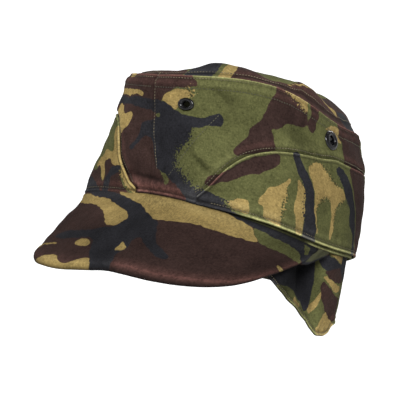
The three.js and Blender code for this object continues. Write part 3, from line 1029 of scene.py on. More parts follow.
@dataclass
class TurnUpBand:
    """A turned-up band, from just above the rim to its curved upper edge.

    Rows of relief are a share, how far in from the edge, and a spread.
    """

    name: str
    side: int
    crown: CrownForm
    edge: BandEdge
    chart: Chart
    folds: tuple[Fold, ...]
    cloth: float = 1.6
    off_wall: float = 0.75
    step: float = 1.15
    seam: float = 0.05
    turn: float = 1.0
    mean_height: float = 52.0
    foot_line: float = 3.0
    edge_relief: Rows = ((0.3, 0.7, 0.7), (-0.45, 1.9, 0.6), (-0.3, 0.0, 1.2))
    foot_relief: Rows = ((0.4, 1.0, 1.0), (-0.35, 3.0, 0.7))
    fullness: float = 0.35
    least: float = -0.65

    def edges(self, angle: Array, level: Array) -> tuple[Array, Array, Array, Array]:
        """Chart points, and measure how far they lie in from the upper edge and from the foot.

        Args:
            angle: angle round the cap.
            level: level up the wall.

        Returns:
            Length round, height above the rim, and the distances from the upper edge and from the foot.
        """
        height = self.crown.wall_height(angle)
        along, up = self.crown.along(angle), level * height
        from_top = -self.edge.above(self.crown, along, up)
        return along, up, np.maximum(from_top, 0), up - self.edge.foot(angle) * height

    def rise(self, angle: Array, level: Array) -> Array:
        """Sum up how far the band's outer face stands out from the wall's plain form.

        Its upper edge has a bead with a sewn groove under it, its foot a fold with another, and there are
        puckers by both, slow waves between them, and the charted folds.

        Args:
            angle: angle round the cap.
            level: level up the wall.

        Returns:
            The distance out, in millimetres.
        """
        along, up, from_top, from_foot = self.edges(angle, level)
        hems = ridges(from_top, self.edge_relief) + ridges(from_foot, self.foot_relief)
        pucker = waver(along, up * 0.3, 8, 21) * 0.2 * (bell(from_top - 4, 5) + bell(from_foot - 4, 5))
        slow = 0.5 * waver(along, up, 38, 22) + 0.2 * waver(along, up, 14, 23)
        inner = smooth_step(0, 12, from_top) * smooth_step(0, 10, from_foot)
        total = hems + pucker + (self.fullness + slow) * inner + fold_height(self.folds, along, up)
        return self.off_wall + self.cloth + np.maximum(total, self.least)

    def outer(self, angle: Array, level: Array) -> Array:
        """Place points on the finished outer face."""
        return self.crown.point(angle, level, self.rise(angle, level))

    def build(self, material: bpy.types.Material) -> bpy.types.Object:
        """Make the band: its middle surface, thickness, wear and print on one grid.

        Args:
            material: the cloth's finish.

        Returns:
            The band's object.
        """
        start, end = self.crown.along(np.array([self.edge.levels[0][0], 180.0]))
        columns = self.crown.angle_at(stations(start, end - self.seam, self.step, self.turn)) * self.side
        rows = stations(0, 1, self.step / self.mean_height, self.turn / self.mean_height)
        angle, share = np.meshgrid(columns, rows, indexing="ij")
        foot = self.edge.foot(angle)
        level = foot + share * (self.edge.level(angle) - foot)
        along, up, from_top, from_foot = self.edges(angle, level)
        ends = np.minimum(np.abs(along) - start, end - self.seam - np.abs(along))
        inside = np.minimum(np.minimum(from_top, from_foot), np.maximum(ends, 0))
        half = closed(rounded(np.maximum(inside, 0), self.turn, self.cloth))
        square = self.crown.normal(angle, level)
        middle = self.crown.point(angle, level, self.rise(angle, level) - self.cloth / 2)
        side = smooth_step(62, 80, np.abs(along))
        edge = 1.15 if self.side > 0 else 0.5 + 0.6 * smooth_step(24, 36, up)
        wear = edge * bell(from_top - 0.6, 0.55) + (0.5 + 1.5 * side) * bell(from_foot - 1.0, 0.8)
        wear = wear + 0.3 * bell(from_foot - 5.6, 2.0)
        # Painted shade: a dark line in the groove under the upper edge and in the grooves over the foot, more
        # towards the side.
        shade = 0.75 * bell(from_top - 2.0, 0.6) + 0.9 * bell(from_foot - 2.8, 0.7)
        shade = shade + 0.4 * bell(from_foot - 4.2, 0.7) * side
        sheet = Sheet(middle, square, half, along, up, self.chart, np.clip(wear, 0, 2), np.clip(shade, 0, 1))
        return dress(sheet_object(f"{self.name}_cloth", sheet, material), "camouflage_cotton", self.name)

    def stitch(self, rows: StitchRow) -> None:
        """Lay a row over the foot's fold.

        Args:
            rows: the rows that it joins.
        """
        first = self.edge.levels[0][0] + 6
        angle = np.linspace(first, 179, 1500) * self.side
        level = self.edge.foot(angle) + self.foot_line / self.crown.wall_height(angle)
        rows.lay(self.outer(angle, level), self.crown.normal(angle, level))


@dataclass
class CrownTop:
    """The oval panel let into the wall: a dome with a few swells, and a dip at the front.

    A swell is its place in plan, a spread and a height. Rows of wear and shade are a share, how far in from
    the edge, and a spread.
    """

    crown: CrownForm
    chart: Chart
    folds: tuple[Fold, ...]
    cloth: float = 1.8
    steps: int = 75
    sink: float = 0.5
    off_wall: float = 1.2
    dome: float = 19.0
    roundness: float = 4.0
    swells: Rows = ((28, 48, 38, 10), (-38, 2, 24, 6), (-20, -83, 38, -7))
    turn: float = 3.2
    turn_down: float = 2.2
    base_in: float = 2.2
    mean_reach: float = 85.0
    stitch_in: float = 6.4
    edge_wear: Rows = ((0.4, 2.0, 1.0), (0.2, 8.0, 3.0))
    edge_shade: Rows = ((0.8, 5.2, 0.9), (0.9, 0.0, 0.8))

    def surface(self, angle: Array, share: Array) -> Array:
        """Place points: straight from the middle out to the wall in plan, with the height summed up.

        Height is the middle's, plus the rim's rise over it by the square of the share, plus the dome by one
        less the share's fourth power, plus the swells, less the turned-down edge.

        Args:
            angle: angle round the cap.
            share: 0 at the middle and 1 at the wall.

        Returns:
            Points on the upper face.
        """
        level = 1 - self.sink / self.crown.wall_height(angle)
        rim = self.crown.point(angle, level, np.full(np.shape(angle), -self.off_wall))
        even = np.arange(0, 360, 4.5)
        even_level = 1 - self.sink / self.crown.wall_height(even)
        base = self.crown.point(even, even_level, np.full(len(even), -self.base_in))[:, 2].mean()
        centre = np.array([0, self.crown.centre_y[2], base])
        place = centre + (rim - centre) * share[..., None]
        height = base + (rim[..., 2] - base) * share ** 2 + self.dome * (1 - share ** self.roundness)
        x, y = place[..., 0], place[..., 1]
        for swell_x, swell_y, spread, swell in self.swells:
            height = height + swell * bell(np.hypot(x - swell_x, y - swell_y), spread) * (1 - share ** 2)
        inside = (1 - share) * np.linalg.norm((rim - centre)[..., :2], axis=-1)
        height = height - self.turn_down * curled(inside, self.turn)
        loose = smooth_step(2, 14, inside)
        height = height + loose * (0.6 * waver(x, y, 40, 31) + 0.25 * waver(x, y, 16, 32))
        height = height + 0.3 * waver(angle * 1.4, inside * 0.3, 9, 33) * bell(inside - 4, 5)
        height = height + fold_height(self.folds, x, y) * smooth_step(0.5, 11, inside)
        height = height - 0.35 * bell(inside - 5.2, 0.9)
        place[..., 2] = height
        return place

    def build(self, material: bpy.types.Material) -> bpy.types.Object:
        """Make the panel on a square grid whose square rings are drawn into the wall's outline.

        Args:
            material: the cloth's finish.

        Returns:
            The panel's object.
        """
        line = stations(-1, 1, 1 / self.steps, self.turn / self.mean_reach)
        a, b = np.meshgrid(line, line, indexing="ij")
        share = np.maximum(np.abs(a), np.abs(b))
        x, y = round_off(a, b)
        angle = np.degrees(np.arctan2(x, -y))
        top = self.surface(angle, share)
        place = np.where(share[..., None] > 0, top, self.surface(angle * 0, share))
        across = np.gradient(place, axis=0)
        over = np.gradient(place, axis=1)
        square = np.cross(across, over)
        square /= np.maximum(np.linalg.norm(square, axis=-1, keepdims=True), 1e-9)
        square *= np.sign(square[..., 2:3])
        reach = np.linalg.norm(place[..., :2] - place[len(line) // 2, len(line) // 2, :2], axis=-1)
        inside = (1 - share) * np.where(share > 0, reach / np.maximum(share, 1e-9), self.mean_reach)
        half = closed(rounded(inside, 0.9, self.cloth))
        # The shade rows are painted shade: a dark line in the sewn groove and in the gap along the wall's top
        # edge.
        wear, shade = ridges(inside, self.edge_wear), np.clip(ridges(inside, self.edge_shade), 0, 1)
        middle = place - square * self.cloth / 2
        sheet = Sheet(middle, square, half, place[..., 0], place[..., 1], self.chart, wear, shade)
        return dress(sheet_object("crown_top_cloth", sheet, material), "camouflage_cotton", "crown_top")

    def stitch(self, rows: StitchRow) -> None:
        """Lay one row round the panel, just inside its turned edge.

        Args:
            rows: the rows that it joins.
        """
        angle = np.linspace(0, 360, 3000)
        rim = self.crown.face(angle, np.ones(len(angle)))
        reach = np.linalg.norm(rim[:, :2] - (0, self.crown.centre_y[2]), axis=1)
        rows.lay(self.surface(angle, 1 - self.stitch_in / reach), np.tile((0.0, 0.0, 1.0), (len(angle), 1)))


@dataclass
class Peak:
    """The stiffened peak: it runs forward and down from the rim to a rolled edge.

    Rows of reach are an angle round the rim and the run from there to the edge. Rows of relief, and of wear
    which also paints the rolled edge's highlight, are a share, how far in from the edge or out from the root,
    and a spread.
    """

    crown: CrownForm
    chart: Chart
    folds: tuple[Fold, ...]
    reach: Rows = ((-88, 2), (-75, 30), (-60, 50.5), (-45, 61.5), (-30, 70.2), (-15, 73), (0, 71.2),
                   (15, 68.2), (30, 68), (40, 66.3), (50, 62.5), (60, 55.5), (65, 49.5), (70, 41), (75, 31.5),
                   (80, 21), (88, 3))
    slope: float = 48.2
    slope_at_sides: float = -2.3
    slope_twist: float = -6.3
    drop: float = 0.4
    thickness: float = 3.4
    square_to: float = 86.0
    step: float = 1.1
    roll: float = 4.6
    roll_down: float = 1.2
    tuck: float = 1.2
    end_turn: float = 1.5
    mean_reach: float = 70.0
    edge_relief: Rows = ((-0.15, 8.2, 1.4), (0.25, 4.4, 1.8))
    root_relief: Rows = ((1.9, 2.2, 3.6),)
    # Rubbed print and a painted highlight along the rolled edge.
    edge_wear: Rows = ((0.72, 4.2, 1.8), (0.28, 7.5, 3.0))

    def face(self, angle: Array, run: Array) -> Array:
        """Place points a run forward and down from the rim, at a slope that goes with the angle's sine.

        Args:
            angle: angle round the cap at which the run starts.
            run: length from the rim.

        Returns:
            Points on the plain form of the upper face.
        """
        s = np.sin(np.radians(angle))
        slope = np.radians(self.slope + self.slope_at_sides * s * s + self.slope_twist * s)
        start = self.crown.face(angle, np.zeros(np.shape(angle)))
        return start + np.stack([0 * run, -run * np.cos(slope), -run * np.sin(slope) - self.drop], -1)

    def square(self, angle: Array, run: Array) -> Array:
        """Give the upper face's square direction, taken short of the two pointed ends.

        Args:
            angle: angle round the cap at which the run starts.
            run: length from the rim.

        Returns:
            Unit vectors, upwards and forwards.
        """
        near = np.clip(angle, -self.square_to, self.square_to)
        around = self.face(near + 1, run) - self.face(near - 1, run)
        out = self.face(near, run + 1) - self.face(near, run - 1)
        square = np.cross(out, around)
        square = square / np.linalg.norm(square, axis=-1, keepdims=True)
        return square * np.sign((square * (0, -0.5, 1)).sum(-1, keepdims=True))

    def inward(self, angle: Array, run: Array) -> Array:
        """Measure how far points lie in from the outer edge: the run still to go, less for the edge's slant.

        Args:
            angle: angle round the cap at which the run starts.
            run: length from the rim.

        Returns:
            The distances.
        """
        to_go = smooth_table(self.reach, angle) - run
        return to_go / np.sqrt(1 + self.crown.slant(self.reach, angle) ** 2)

    def lift(self, angle: Array, run: Array) -> Array:
        """Sum up how far the upper face stands off its plain form: rolled edge, sewn groove, waves, folds.

        Args:
            angle: angle round the cap at which the run starts.
            run: length from the rim.

        Returns:
            The distance upwards, square to the face.
        """
        along = self.crown.along(angle, 0)
        inside = self.inward(angle, run)
        total = -self.roll_down * curled(inside, self.roll)
        total = total + ridges(inside, self.edge_relief)
        total = total + ridges(run, self.root_relief) * smooth_step(86, 76, np.abs(angle))
        slow = 0.55 * waver(along, run, 42, 41) + 0.25 * waver(along, run, 17, 42)
        total = total + slow * smooth_step(3, 14, inside) * smooth_step(1, 10, run)
        total = total + 0.2 * waver(along, inside * 0.3, 8, 43) * bell(inside - 5, 4)
        return total + fold_height(self.folds, along, run)

    def build(self, material: bpy.types.Material) -> bpy.types.Object:
        """Make the peak on a grid of angles and shares of the run.

        Args:
            material: the cloth's finish.

        Returns:
            The peak's object.
        """
        first, last = self.crown.along(np.array([self.reach[0][0], self.reach[-1][0]]), 0)
        columns = self.crown.angle_at(stations(first, last, self.step, self.end_turn), 0)
        shares = stations(0, 1, self.step / self.mean_reach, self.roll / self.mean_reach)
        angle, share = np.meshgrid(columns, shares, indexing="ij")
        run = share * (smooth_table(self.reach, angle) + self.tuck) - self.tuck
        along = self.crown.along(angle, 0)
        inside = self.inward(angle, run)
        ends = np.minimum(along - first, last - along)
        half = rounded(inside, self.roll, self.thickness)
        half = np.minimum(half, rounded(run + self.tuck, 1.0, self.thickness))
        half = closed(np.minimum(half, rounded(ends, 3.0, self.thickness)))
        square = self.square(angle, run)
        middle = self.face(angle, run) + square * (self.lift(angle, run) - self.thickness / 2)[..., None]
        # Painted highlight: the rubbed crest inside the rolled edge is lighter where the peak faces the
        # light, and fainter over the right half and near the left end.
        painted_highlight = 0.25 + 0.75 * smooth_step(8, 34, along) * (1 - 0.6 * smooth_step(112, 128, along))
        wear = painted_highlight * ridges(inside, self.edge_wear) + 0.2 * bell(run - 4.6, 2.2)
        # Painted shade: a dark line along the rolled outer edge and at the joint with the wall.
        shade = 0.85 * bell(inside, 1.0) + 0.7 * bell(run, 1.2)
        sheet = Sheet(middle, square, half, along, run, self.chart, np.clip(wear, 0, 1), np.clip(shade, 0, 1))
        return dress(sheet_object("peak_cloth", sheet, material), "camouflage_cotton", "peak")


@dataclass
class EarAndNeckFlap:
    """One cloth sewn inside the rim that hangs straight down, longest at the ears.

    Rows of hem are an angle round the rim and the drop from there. Rows of relief, wear and shade are a
    share, how far in from the hem, and a spread.
    """

    crown: CrownForm
    chart: Chart
    folds: tuple[Fold, ...]
    hem: Rows = ((50, 19), (58, 28), (68, 35), (76, 39.5), (84, 43.8), (89, 47), (93, 52), (97, 55.5),
                 (104, 55.6), (109, 53.5), (114, 48), (130, 40), (155, 28),
                 (180, 21), (205, 23), (232, 34), (255, 43), (268, 42), (285, 34), (300, 25), (310, 16))
    cloth: float = 1.6
    wall_cloth: float = 1.8
    tuck: float = 13.0
    play: float = 0.4
    inset: float = 2.6
    inset_behind_peak: float = 5.0
    peak_from: float = 90.0
    peak_to: float = 100.0
    step_in: float = 7.0
    fold_angle: float = 80.0
    fold_spread: float = 6.0
    fold_depth: float = 7.0
    fold_from: float = 6.0
    fold_to: float = 46.0
    step: float = 1.2
    edge: float = 1.2
    mean_depth: float = 62.0
    hem_line: float = 2.4
    hem_relief: Rows = ((0.4, 0.8, 1.0), (-0.35, 2.4, 0.8))
    hem_wear: Rows = ((1.3, 1.0, 0.7), (0.2, 5.5, 1.6))
    hem_shade: Rows = ((0.8, 2.4, 0.7), (0.9, 0.0, 0.6))

    def outward(self, angle: Array) -> Array:
        """Give the level direction out of the rim."""
        normal = self.crown.normal(angle, np.zeros(np.shape(angle))) * (1, 1, 0)
        return normal / np.linalg.norm(normal, axis=-1, keepdims=True)

    def rise(self, angle: Array, down: Array) -> Array:
        """Sum up the hem's double layer with its sewn line, puckers, slow waves and the charted folds.

        Args:
            angle: angle round the cap.
            down: drop below the rim.

        Returns:
            The distance outwards.
        """
        along = self.crown.along(angle)
        inside = self.inward(angle, down)
        total = ridges(inside, self.hem_relief)
        total = total + 0.25 * waver(along, down * 0.3, 9, 51) * bell(inside - 5, 5)
        slow = 0.8 * waver(along, down, 40, 52) + 0.3 * waver(along, down, 16, 53)
        total = total + slow * smooth_step(2, 20, down)
        return total + fold_height(self.folds, along, -down)

    def inward(self, angle: Array, down: Array) -> Array:
        """Measure how far points lie in from the hem and the two front edges, less for the hem's slant.

        Args:
            angle: angle round the cap.
            down: drop below the rim.

        Returns:
            The distance to the nearest edge.
        """
        slant = self.crown.slant(self.hem, angle)
        below = (smooth_table(self.hem, angle) - down) / np.sqrt(1 + slant ** 2)
        along = self.crown.along(angle, 0)
        first, last = self.crown.along(np.array([self.hem[0][0], self.hem[-1][0]]), 0)
        return np.minimum(below, np.minimum(along - first, last - along))

    def face(self, angle: Array, down: Array) -> Array:
        """Place points: inside the wall down to the rim, then a step in, with one deep fold by the left ear.

        Args:
            angle: angle round the cap, from the left side's front edge through the back to the right's.
            down: drop below the rim, below nothing inside the wall.

        Returns:
            Points on the outer face.
        """
        free = smooth_step(-self.step_in, 0, down)
        from_front = np.minimum(angle, 360 - angle)
        clear = 1 - smooth_step(self.peak_from, self.peak_to, from_front)
        below = self.inset + clear * (self.inset_behind_peak - self.inset)
        inside = self.wall_cloth + self.play + free * (below - self.wall_cloth)
        fades = smooth_step(0, self.fold_from, down) * (1 - smooth_step(self.fold_from, self.fold_to, down))
        inside = inside + self.fold_depth * bell(angle - self.fold_angle, self.fold_spread) * fades
        lean = self.crown.face(angle, np.maximum(-down, 0) / self.crown.wall_height(angle))
        place = lean - self.outward(angle) * inside[..., None]
        place[..., 2] = self.crown.edge_height(self.crown.rim_heights, angle) - down
        return place

    def outer(self, angle: Array, down: Array) -> Array:
        """Place points on the finished outer face."""
        return self.face(angle, down) + self.outward(angle) * self.rise(angle, down)[..., None]

    def build(self, material: bpy.types.Material, hangs_from: list[bpy.types.Object]) -> bpy.types.Object:
        """Args:
            material: the cloth's finish.
            hangs_from: not used.

        Returns:
            The flap's object.
        """
        first, last = self.crown.along(np.array([self.hem[0][0], self.hem[-1][0]]), 0)
        lengths = stations(first, last, self.step, self.edge)
        columns = self.crown.angle_at(lengths, 0)
        shares = stations(0, 1, self.step / self.mean_depth, self.edge / self.mean_depth)
        angle, share = np.meshgrid(columns, shares, indexing="ij")
        depth = smooth_table(self.hem, angle) + self.tuck
        down = share * depth - self.tuck
        square = self.outward(angle)
        inside = np.minimum(self.inward(angle, down), down + self.tuck)
        half = closed(rounded(np.maximum(inside, 0), self.edge, self.cloth))
        middle = self.outer(angle, down) - square * self.cloth / 2
        from_hem = self.inward(angle, down)
        wear = np.clip(ridges(from_hem, self.hem_wear), 0, 2)
        # Painted shade: dark lines in the hem's sewn groove and at its edge, and darker where the flap hangs
        # inside the wall.
        shade = np.clip(ridges(from_hem, self.hem_shade) + 0.7 * smooth_step(4, -1, down), 0, 1)
        sheet = Sheet(middle, square, half, self.crown.along(angle), -down, self.chart, wear, shade)
        made = sheet_object("hanging_flap_cloth", sheet, material)
        dress(made, "camouflage_cotton", "ear_and_neck_flap")
        return made

    def stitch(self, rows: StitchRow) -> None:
        """Lay one row along the hem.

        Args:
            rows: the rows that it joins.
        """
        angle = np.linspace(self.hem[0][0] + 3, self.hem[-1][0] - 3, 3000)
        slant = self.crown.slant(self.hem, angle)
        down = smooth_table(self.hem, angle) - self.hem_line * np.sqrt(1 + slant ** 2)
        rows.lay(self.outer(angle, down), self.outward(angle))


@dataclass
class Eyelet:
    """A pressed ring through the wall: a rolled flange outside, a barrel, and a flat flange inside."""

    place: EyeletPlace
    crown: CrownForm
    profile: Rows
    oval: float
    sides: int = 56
    smoothings: int = 2

    def build(self, material: bpy.types.Material) -> bpy.types.Object:
        """Carry the profile round a slightly oval ring that is square to the wall.

        Args:
            material: the metal's finish.

        Returns:
            The ring's object.
        """
        at = np.array(self.place.angle), np.array(self.place.level)
        out = self.crown.normal(*at)
        around = np.cross((0, 0, 1.0), out)
        around /= np.linalg.norm(around)
        up = np.cross(out, around)
        loop = smooth_loop(np.array(self.profile, float), self.smoothings)
        turn = np.linspace(0, 2 * np.pi, self.sides, endpoint=False)[:, None, None]
        radius, height = loop[None, :, :1] * self.place.share, loop[None, :, 1:]
        ring = (around * np.cos(turn) + up * np.sin(turn) * self.oval) * radius + out * height
        points = (self.crown.face(*at) + ring).reshape(-1, 3)
        wide, high = self.sides, len(loop)
        numbers = np.arange(wide * high).reshape(wide, high)
        after, over = np.roll(numbers, -1, axis=0), np.roll(numbers, -1, axis=1)
        both = np.roll(after, -1, axis=1)
        faces = np.stack([numbers, after, both, over], -1).reshape(-1, 4)
        made = mesh_object(f"{self.place.name}_ring", points, faces, material)
        return dress(made, "black_metal", self.place.name)


# Node trees

def linear(*levels: float) -> tuple[float, float, float, float]:
    """Turn a screen colour into a linear one, along the usual curve of screens.

    Args:
        levels: red, green and blue, from 0 to 255.

    Returns:
        The linear colour, with a fourth number for its cover.
    """
    share = np.array(levels) / 255
    light = np.where(share <= 0.04045, share / 12.92, ((share + 0.055) / 1.055) ** 2.4)
    return (*(float(x) for x in light), 1.0)


class Value:
    """A number in a node tree, on which sums are written as Python."""

    def __init__(self, graph: "Graph", socket: bpy.types.NodeSocket) -> None:
        """Keep the tree and the output socket."""
        self.graph = graph
        self.socket = socket

    def math(self, operation: str, *inputs: "Value | float", clamp: bool = False) -> "Value":
        """Add a Math node.

        Args:
            operation: the node's operation.
            inputs: its inputs in order.
            clamp: whether the result is held between 0 and 1.

        Returns:
            The node's output.
        """
        settings = {"operation": operation, "use_clamp": clamp}
        node = self.graph.add("ShaderNodeMath", settings, dict(enumerate(inputs)))
        return Value(self.graph, node.outputs[0])

    def __add__(self, other: "Value | float") -> "Value":
        """Add."""
        return self.math("ADD", self, other)

    __radd__ = __add__

    def __sub__(self, other: "Value | float") -> "Value":
        """Take away."""
        return self.math("SUBTRACT", self, other)

    def __rsub__(self, other: float) -> "Value":
        """Take this away from a number."""
        return self.math("SUBTRACT", other, self)

    def __mul__(self, other: "Value | float") -> "Value":
        """Multiply."""
        return self.math("MULTIPLY", self, other)

    __rmul__ = __mul__

    def __truediv__(self, other: "Value | float") -> "Value":
        """Divide."""
        return self.math("DIVIDE", self, other)

    def held(self) -> "Value":
        """Hold between 0 and 1."""
        return self.math("ADD", self, 0.0, clamp=True)


class Graph:
    """A material's node tree."""

    def __init__(self, name: str) -> None:
        """Start a material with a Principled shader.

        Args:
            name: the material's name.
        """
        self.material = bpy.data.materials.new(name)
        self.material.use_nodes = True
        self.tree = self.material.node_tree
        self.tree.nodes.clear()
        self.shader = self.add("ShaderNodeBsdfPrincipled", {}, {})
        output = self.add("ShaderNodeOutputMaterial", {}, {"Surface": self.shader.outputs[0]})
        output.is_active_output = True

    def add(self, kind: str, settings: dict[str, object], sockets: dict[object, object]) -> bpy.types.Node:
        """Add a node.

        Args:
            kind: the node's type.
            settings: its own settings, which are set first.
            sockets: values or links for its inputs, by name or number.

        Returns:
            The node.
        """
        node = self.tree.nodes.new(kind)
        for key, setting in settings.items():
            setattr(node, key, setting)
        for key, value in sockets.items():
            self.feed(node.inputs[key], value)
        return node

    def feed(self, socket: bpy.types.NodeSocket, value: object) -> None:
        """Link a socket, or set its value.

        Args:
            socket: the input to feed.
            value: a number in the tree, a socket to link, or a plain value.
        """
        if isinstance(value, Value):
            value = value.socket
        if isinstance(value, bpy.types.NodeSocket):
            self.tree.links.new(value, socket)
        else:
            socket.default_value = value

    def attribute(self, name: str) -> Value:
        """Read a number from an attribute."""
        return Value(self, self.add("ShaderNodeAttribute", {"attribute_name": name}, {}).outputs["Fac"])

    def vector(self, name: str) -> bpy.types.NodeSocket:
        """Read a vector from an attribute."""
        return self.add("ShaderNodeAttribute", {"attribute_name": name}, {}).outputs["Vector"]

    def parts(self, vector: bpy.types.NodeSocket) -> tuple[Value, Value, Value]:
        """Split a vector into its three numbers."""
        outputs = self.add("ShaderNodeSeparateXYZ", {}, {0: vector}).outputs
        return Value(self, outputs[0]), Value(self, outputs[1]), Value(self, outputs[2])

    def noise(self, vector: bpy.types.NodeSocket, size: float, detail: float, rough: float = 0.5) -> Value:
        """Add a noise of a size in the vector's unit, which runs from about 0.2 to 0.8."""
        sockets = {"Vector": vector, "Scale": 1 / size, "Detail": detail, "Roughness": rough}
        return Value(self, self.add("ShaderNodeTexNoise", {}, sockets).outputs["Fac"])

    def cells(self, vector: bpy.types.NodeSocket, size: float) -> Value:
        """Add the distance to the nearest of points scattered on the cloth, one to each square.

        Args:
            vector: the place on the cloth.
            size: the squares' side, in the vector's unit.

        Returns:
            The distance, in squares' sides.
        """
        settings = {"voronoi_dimensions": "2D", "feature": "F1"}
        node = self.add("ShaderNodeTexVoronoi", settings, {"Vector": vector, "Scale": 1 / size})
        return Value(self, node.outputs[0])

    def stretch(self, vector: bpy.types.NodeSocket, *scale: float) -> bpy.types.NodeSocket:
        """Multiply a vector by three numbers."""
        return self.add("ShaderNodeVectorMath", {"operation": "MULTIPLY"}, {0: vector, 1: scale}).outputs[0]

    def mix(self, factor: object, first: object, second: object, blend: str = "MIX") -> bpy.types.NodeSocket:
        """Mix two colours."""
        settings = {"data_type": "RGBA", "blend_type": blend, "clamp_factor": True}
        return self.add("ShaderNodeMix", settings, {0: factor, 6: first, 7: second}).outputs[2]

    def step(self, value: Value, low: float, high: float) -> Value:
        """Rise smoothly from 0 at low to 1 at high.

        Args:
            value: what is stepped.
            low: where the rise starts, which may lie above its end.
            high: where it ends.

        Returns:
            The step.
        """
        sockets = {"Value": value, "From Min": low, "From Max": high}
        node = self.add("ShaderNodeMapRange", {"interpolation_type": "SMOOTHSTEP"}, sockets)
        return Value(self, node.outputs[0])

    def bump(self, height: Value, distance: float, strength: float) -> None:
        """Feed the shader's normal from a height, whose full rise is a distance in metres."""
        node = self.add("ShaderNodeBump", {}, {"Height": height, "Distance": distance, "Strength": strength})
        self.feed(self.shader.inputs["Normal"], node.outputs[0])


@dataclass(frozen=True)
class Camouflage:
    """Printed cotton: three inks on green twill, with sprayed dots at some edges, worn where it stands out.

    Each ink has its fresh colour and its rubbed one, in screen levels. Sizes are in millimetres of cloth: the
    grain of the inks' edges, half an edge's softness, the squares that hold one dot each, how far dots reach
    for one unit of brush width past the plain edge, the pitch of the twill, and the sizes of the uneven
    fading, from slow clouds to single threads. The relief is in metres.
    """

    ground: Colour = (69, 70, 42)
    tan: Colour = (120, 103, 63)
    brown: Colour = (44, 32, 29)
    black: Colour = (31, 31, 34)
    ground_rubbed: Colour = (118, 118, 78)
    tan_rubbed: Colour = (158, 142, 96)
    brown_rubbed: Colour = (100, 68, 62)
    black_rubbed: Colour = (66, 66, 68)
    worn: Colour = (150, 144, 104)
    stain: Colour = (34, 35, 24)
    inside: Colour = (54, 54, 40)
    painted_shade: Colour = (14, 12, 11)
    grain: float = 1.1
    edge: float = 0.28
    dot: float = 1.9
    dot_share: float = 0.5
    gap_share: float = 0.45
    dot_edge: tuple[float, float] = (0.02, -0.1)
    plain_brush: float = 0.4
    spray: float = 8.32
    twill: float = 0.62
    clouds: float = 26.0
    blotches: float = 11.0
    patches: float = 5.0
    pits: float = 1.9
    lint: float = 1.6
    flecks: float = 1.5
    threads: float = 0.8
    relief: float = 0.00028

    def printed(self, g: Graph, place: bpy.types.NodeSocket) -> tuple[object, object, Value]:
        """Lay the inks one over another, fresh and rubbed.

        An ink covers where its distance plus a grain times its brush width is below nothing. Where the brush
        is wide, round dots of it lie outside its edge and round gaps inside, the nearer the edge the larger,
        and dark marks lie on the edge of the tan.

        Args:
            g: the material's tree.
            place: the place on the cloth.

        Returns:
            The fresh colour, the rubbed one, and where the dark marks lie.
        """
        grain = g.noise(place, self.grain, 2.0, 0.6)
        speck = g.noise(place, self.grain * 0.5, 1.0, 0.5)
        rough = grain * 4.0 + speck * 2.4 - 3.2
        dots = g.cells(place, self.dot)
        gaps = g.cells(g.stretch(place, 1.13, 1.09, 1.0), self.dot)
        marks = g.cells(g.stretch(place, 0.91, 1.07, 1.0), self.dot)
        stains: Value | float = 0.0
        colour: object = linear(*self.ground)
        rubbed: object = linear(*self.ground_rubbed)
        inks = {Ink.TAN: (self.tan, self.tan_rubbed), Ink.BROWN: (self.brown, self.brown_rubbed),
                Ink.BLACK: (self.black, self.black_rubbed), Ink.SPRIG: (self.ground, self.ground_rubbed),
                Ink.SAND: (self.tan, self.tan_rubbed)}
        for ink, (fresh, faded) in inks.items():
            distance, brush, _ = g.parts(g.vector(ink.value))
            solid = g.step(distance + rough * (brush * 0.5 + 0.06), self.edge, -self.edge)
            sprayed = ((brush - self.plain_brush) * 0.5).held() * self.spray + 0.05
            outside = (1.0 - distance / sprayed).held()
            inside = (1.0 + distance / (sprayed * 0.7)).held()
            dot = g.step(dots - outside * self.dot_share, *self.dot_edge)
            gap = g.step(gaps - inside * self.gap_share, *self.dot_edge)
            cover = (solid + dot).held() * (1.0 - gap)
            if ink in (Ink.TAN, Ink.SAND):
                stains = stains + g.step(marks - outside * inside * self.gap_share, *self.dot_edge)
            colour = g.mix(cover, colour, linear(*fresh))
            rubbed = g.mix(cover, rubbed, linear(*faded))
        return colour, rubbed, stains

    def make(self) -> bpy.types.Material:
        """Build the material.

        The printed colours go lighter where the cloth is rubbed, which on the peak's rolled edge is partly a
        painted highlight. They go darker where the shade attribute paints shade in grooves, creases, joints
        and under overlapping pieces. The charted rows of tone and painted light lighten and darken them
        further. They are broken by slow fading, pits, lint and threads. The twill's ribs and its threads
        stand out a little.

        Returns:
            The cloth's material.
        """
        g = Graph("camouflage_cotton")
        place = g.vector("cloth_place")
        colour, rubbed, stains = self.printed(g, place)
        cloud = g.noise(place, self.clouds, 2.0)
        blotch = g.noise(place, self.blotches, 2.0, 0.6)
        patch = g.noise(place, self.patches, 3.0, 0.6)
        thread = g.noise(g.stretch(place, 1.0, 0.35, 1.0), self.threads, 1.0)
        weft = g.noise(g.stretch(place, 0.35, 1.0, 1.0), self.threads, 1.0)
        fleck = g.noise(place, self.flecks, 2.0, 0.7)
        pit = g.step(g.noise(place, self.pits, 1.0), 0.6, 0.72)
        lint = g.step(g.noise(place, self.lint, 1.0), 0.6, 0.75)
        value = cloud * 0.6 + blotch * 0.6 + patch * 0.6 + thread * 0.6 + weft * 0.6 + fleck - pit * 0.2
        value = value + lint * 0.35 - 0.99
        wear = g.attribute("wear")
        worn = (wear * (0.25 + patch * 0.6 + fleck * 0.5)).held()
        frayed = ((wear - 1.0) * (0.6 + fleck)).held()
        colour = g.mix((stains * 0.7).held(), colour, linear(*self.stain))
        colour = g.mix(worn * 0.85, colour, rubbed)
        colour = g.mix(1.0, colour, self.grey(g, frayed * 1.1 + 1.0), "MULTIPLY")
        colour = g.mix(frayed * 0.25, colour, linear(*self.worn))
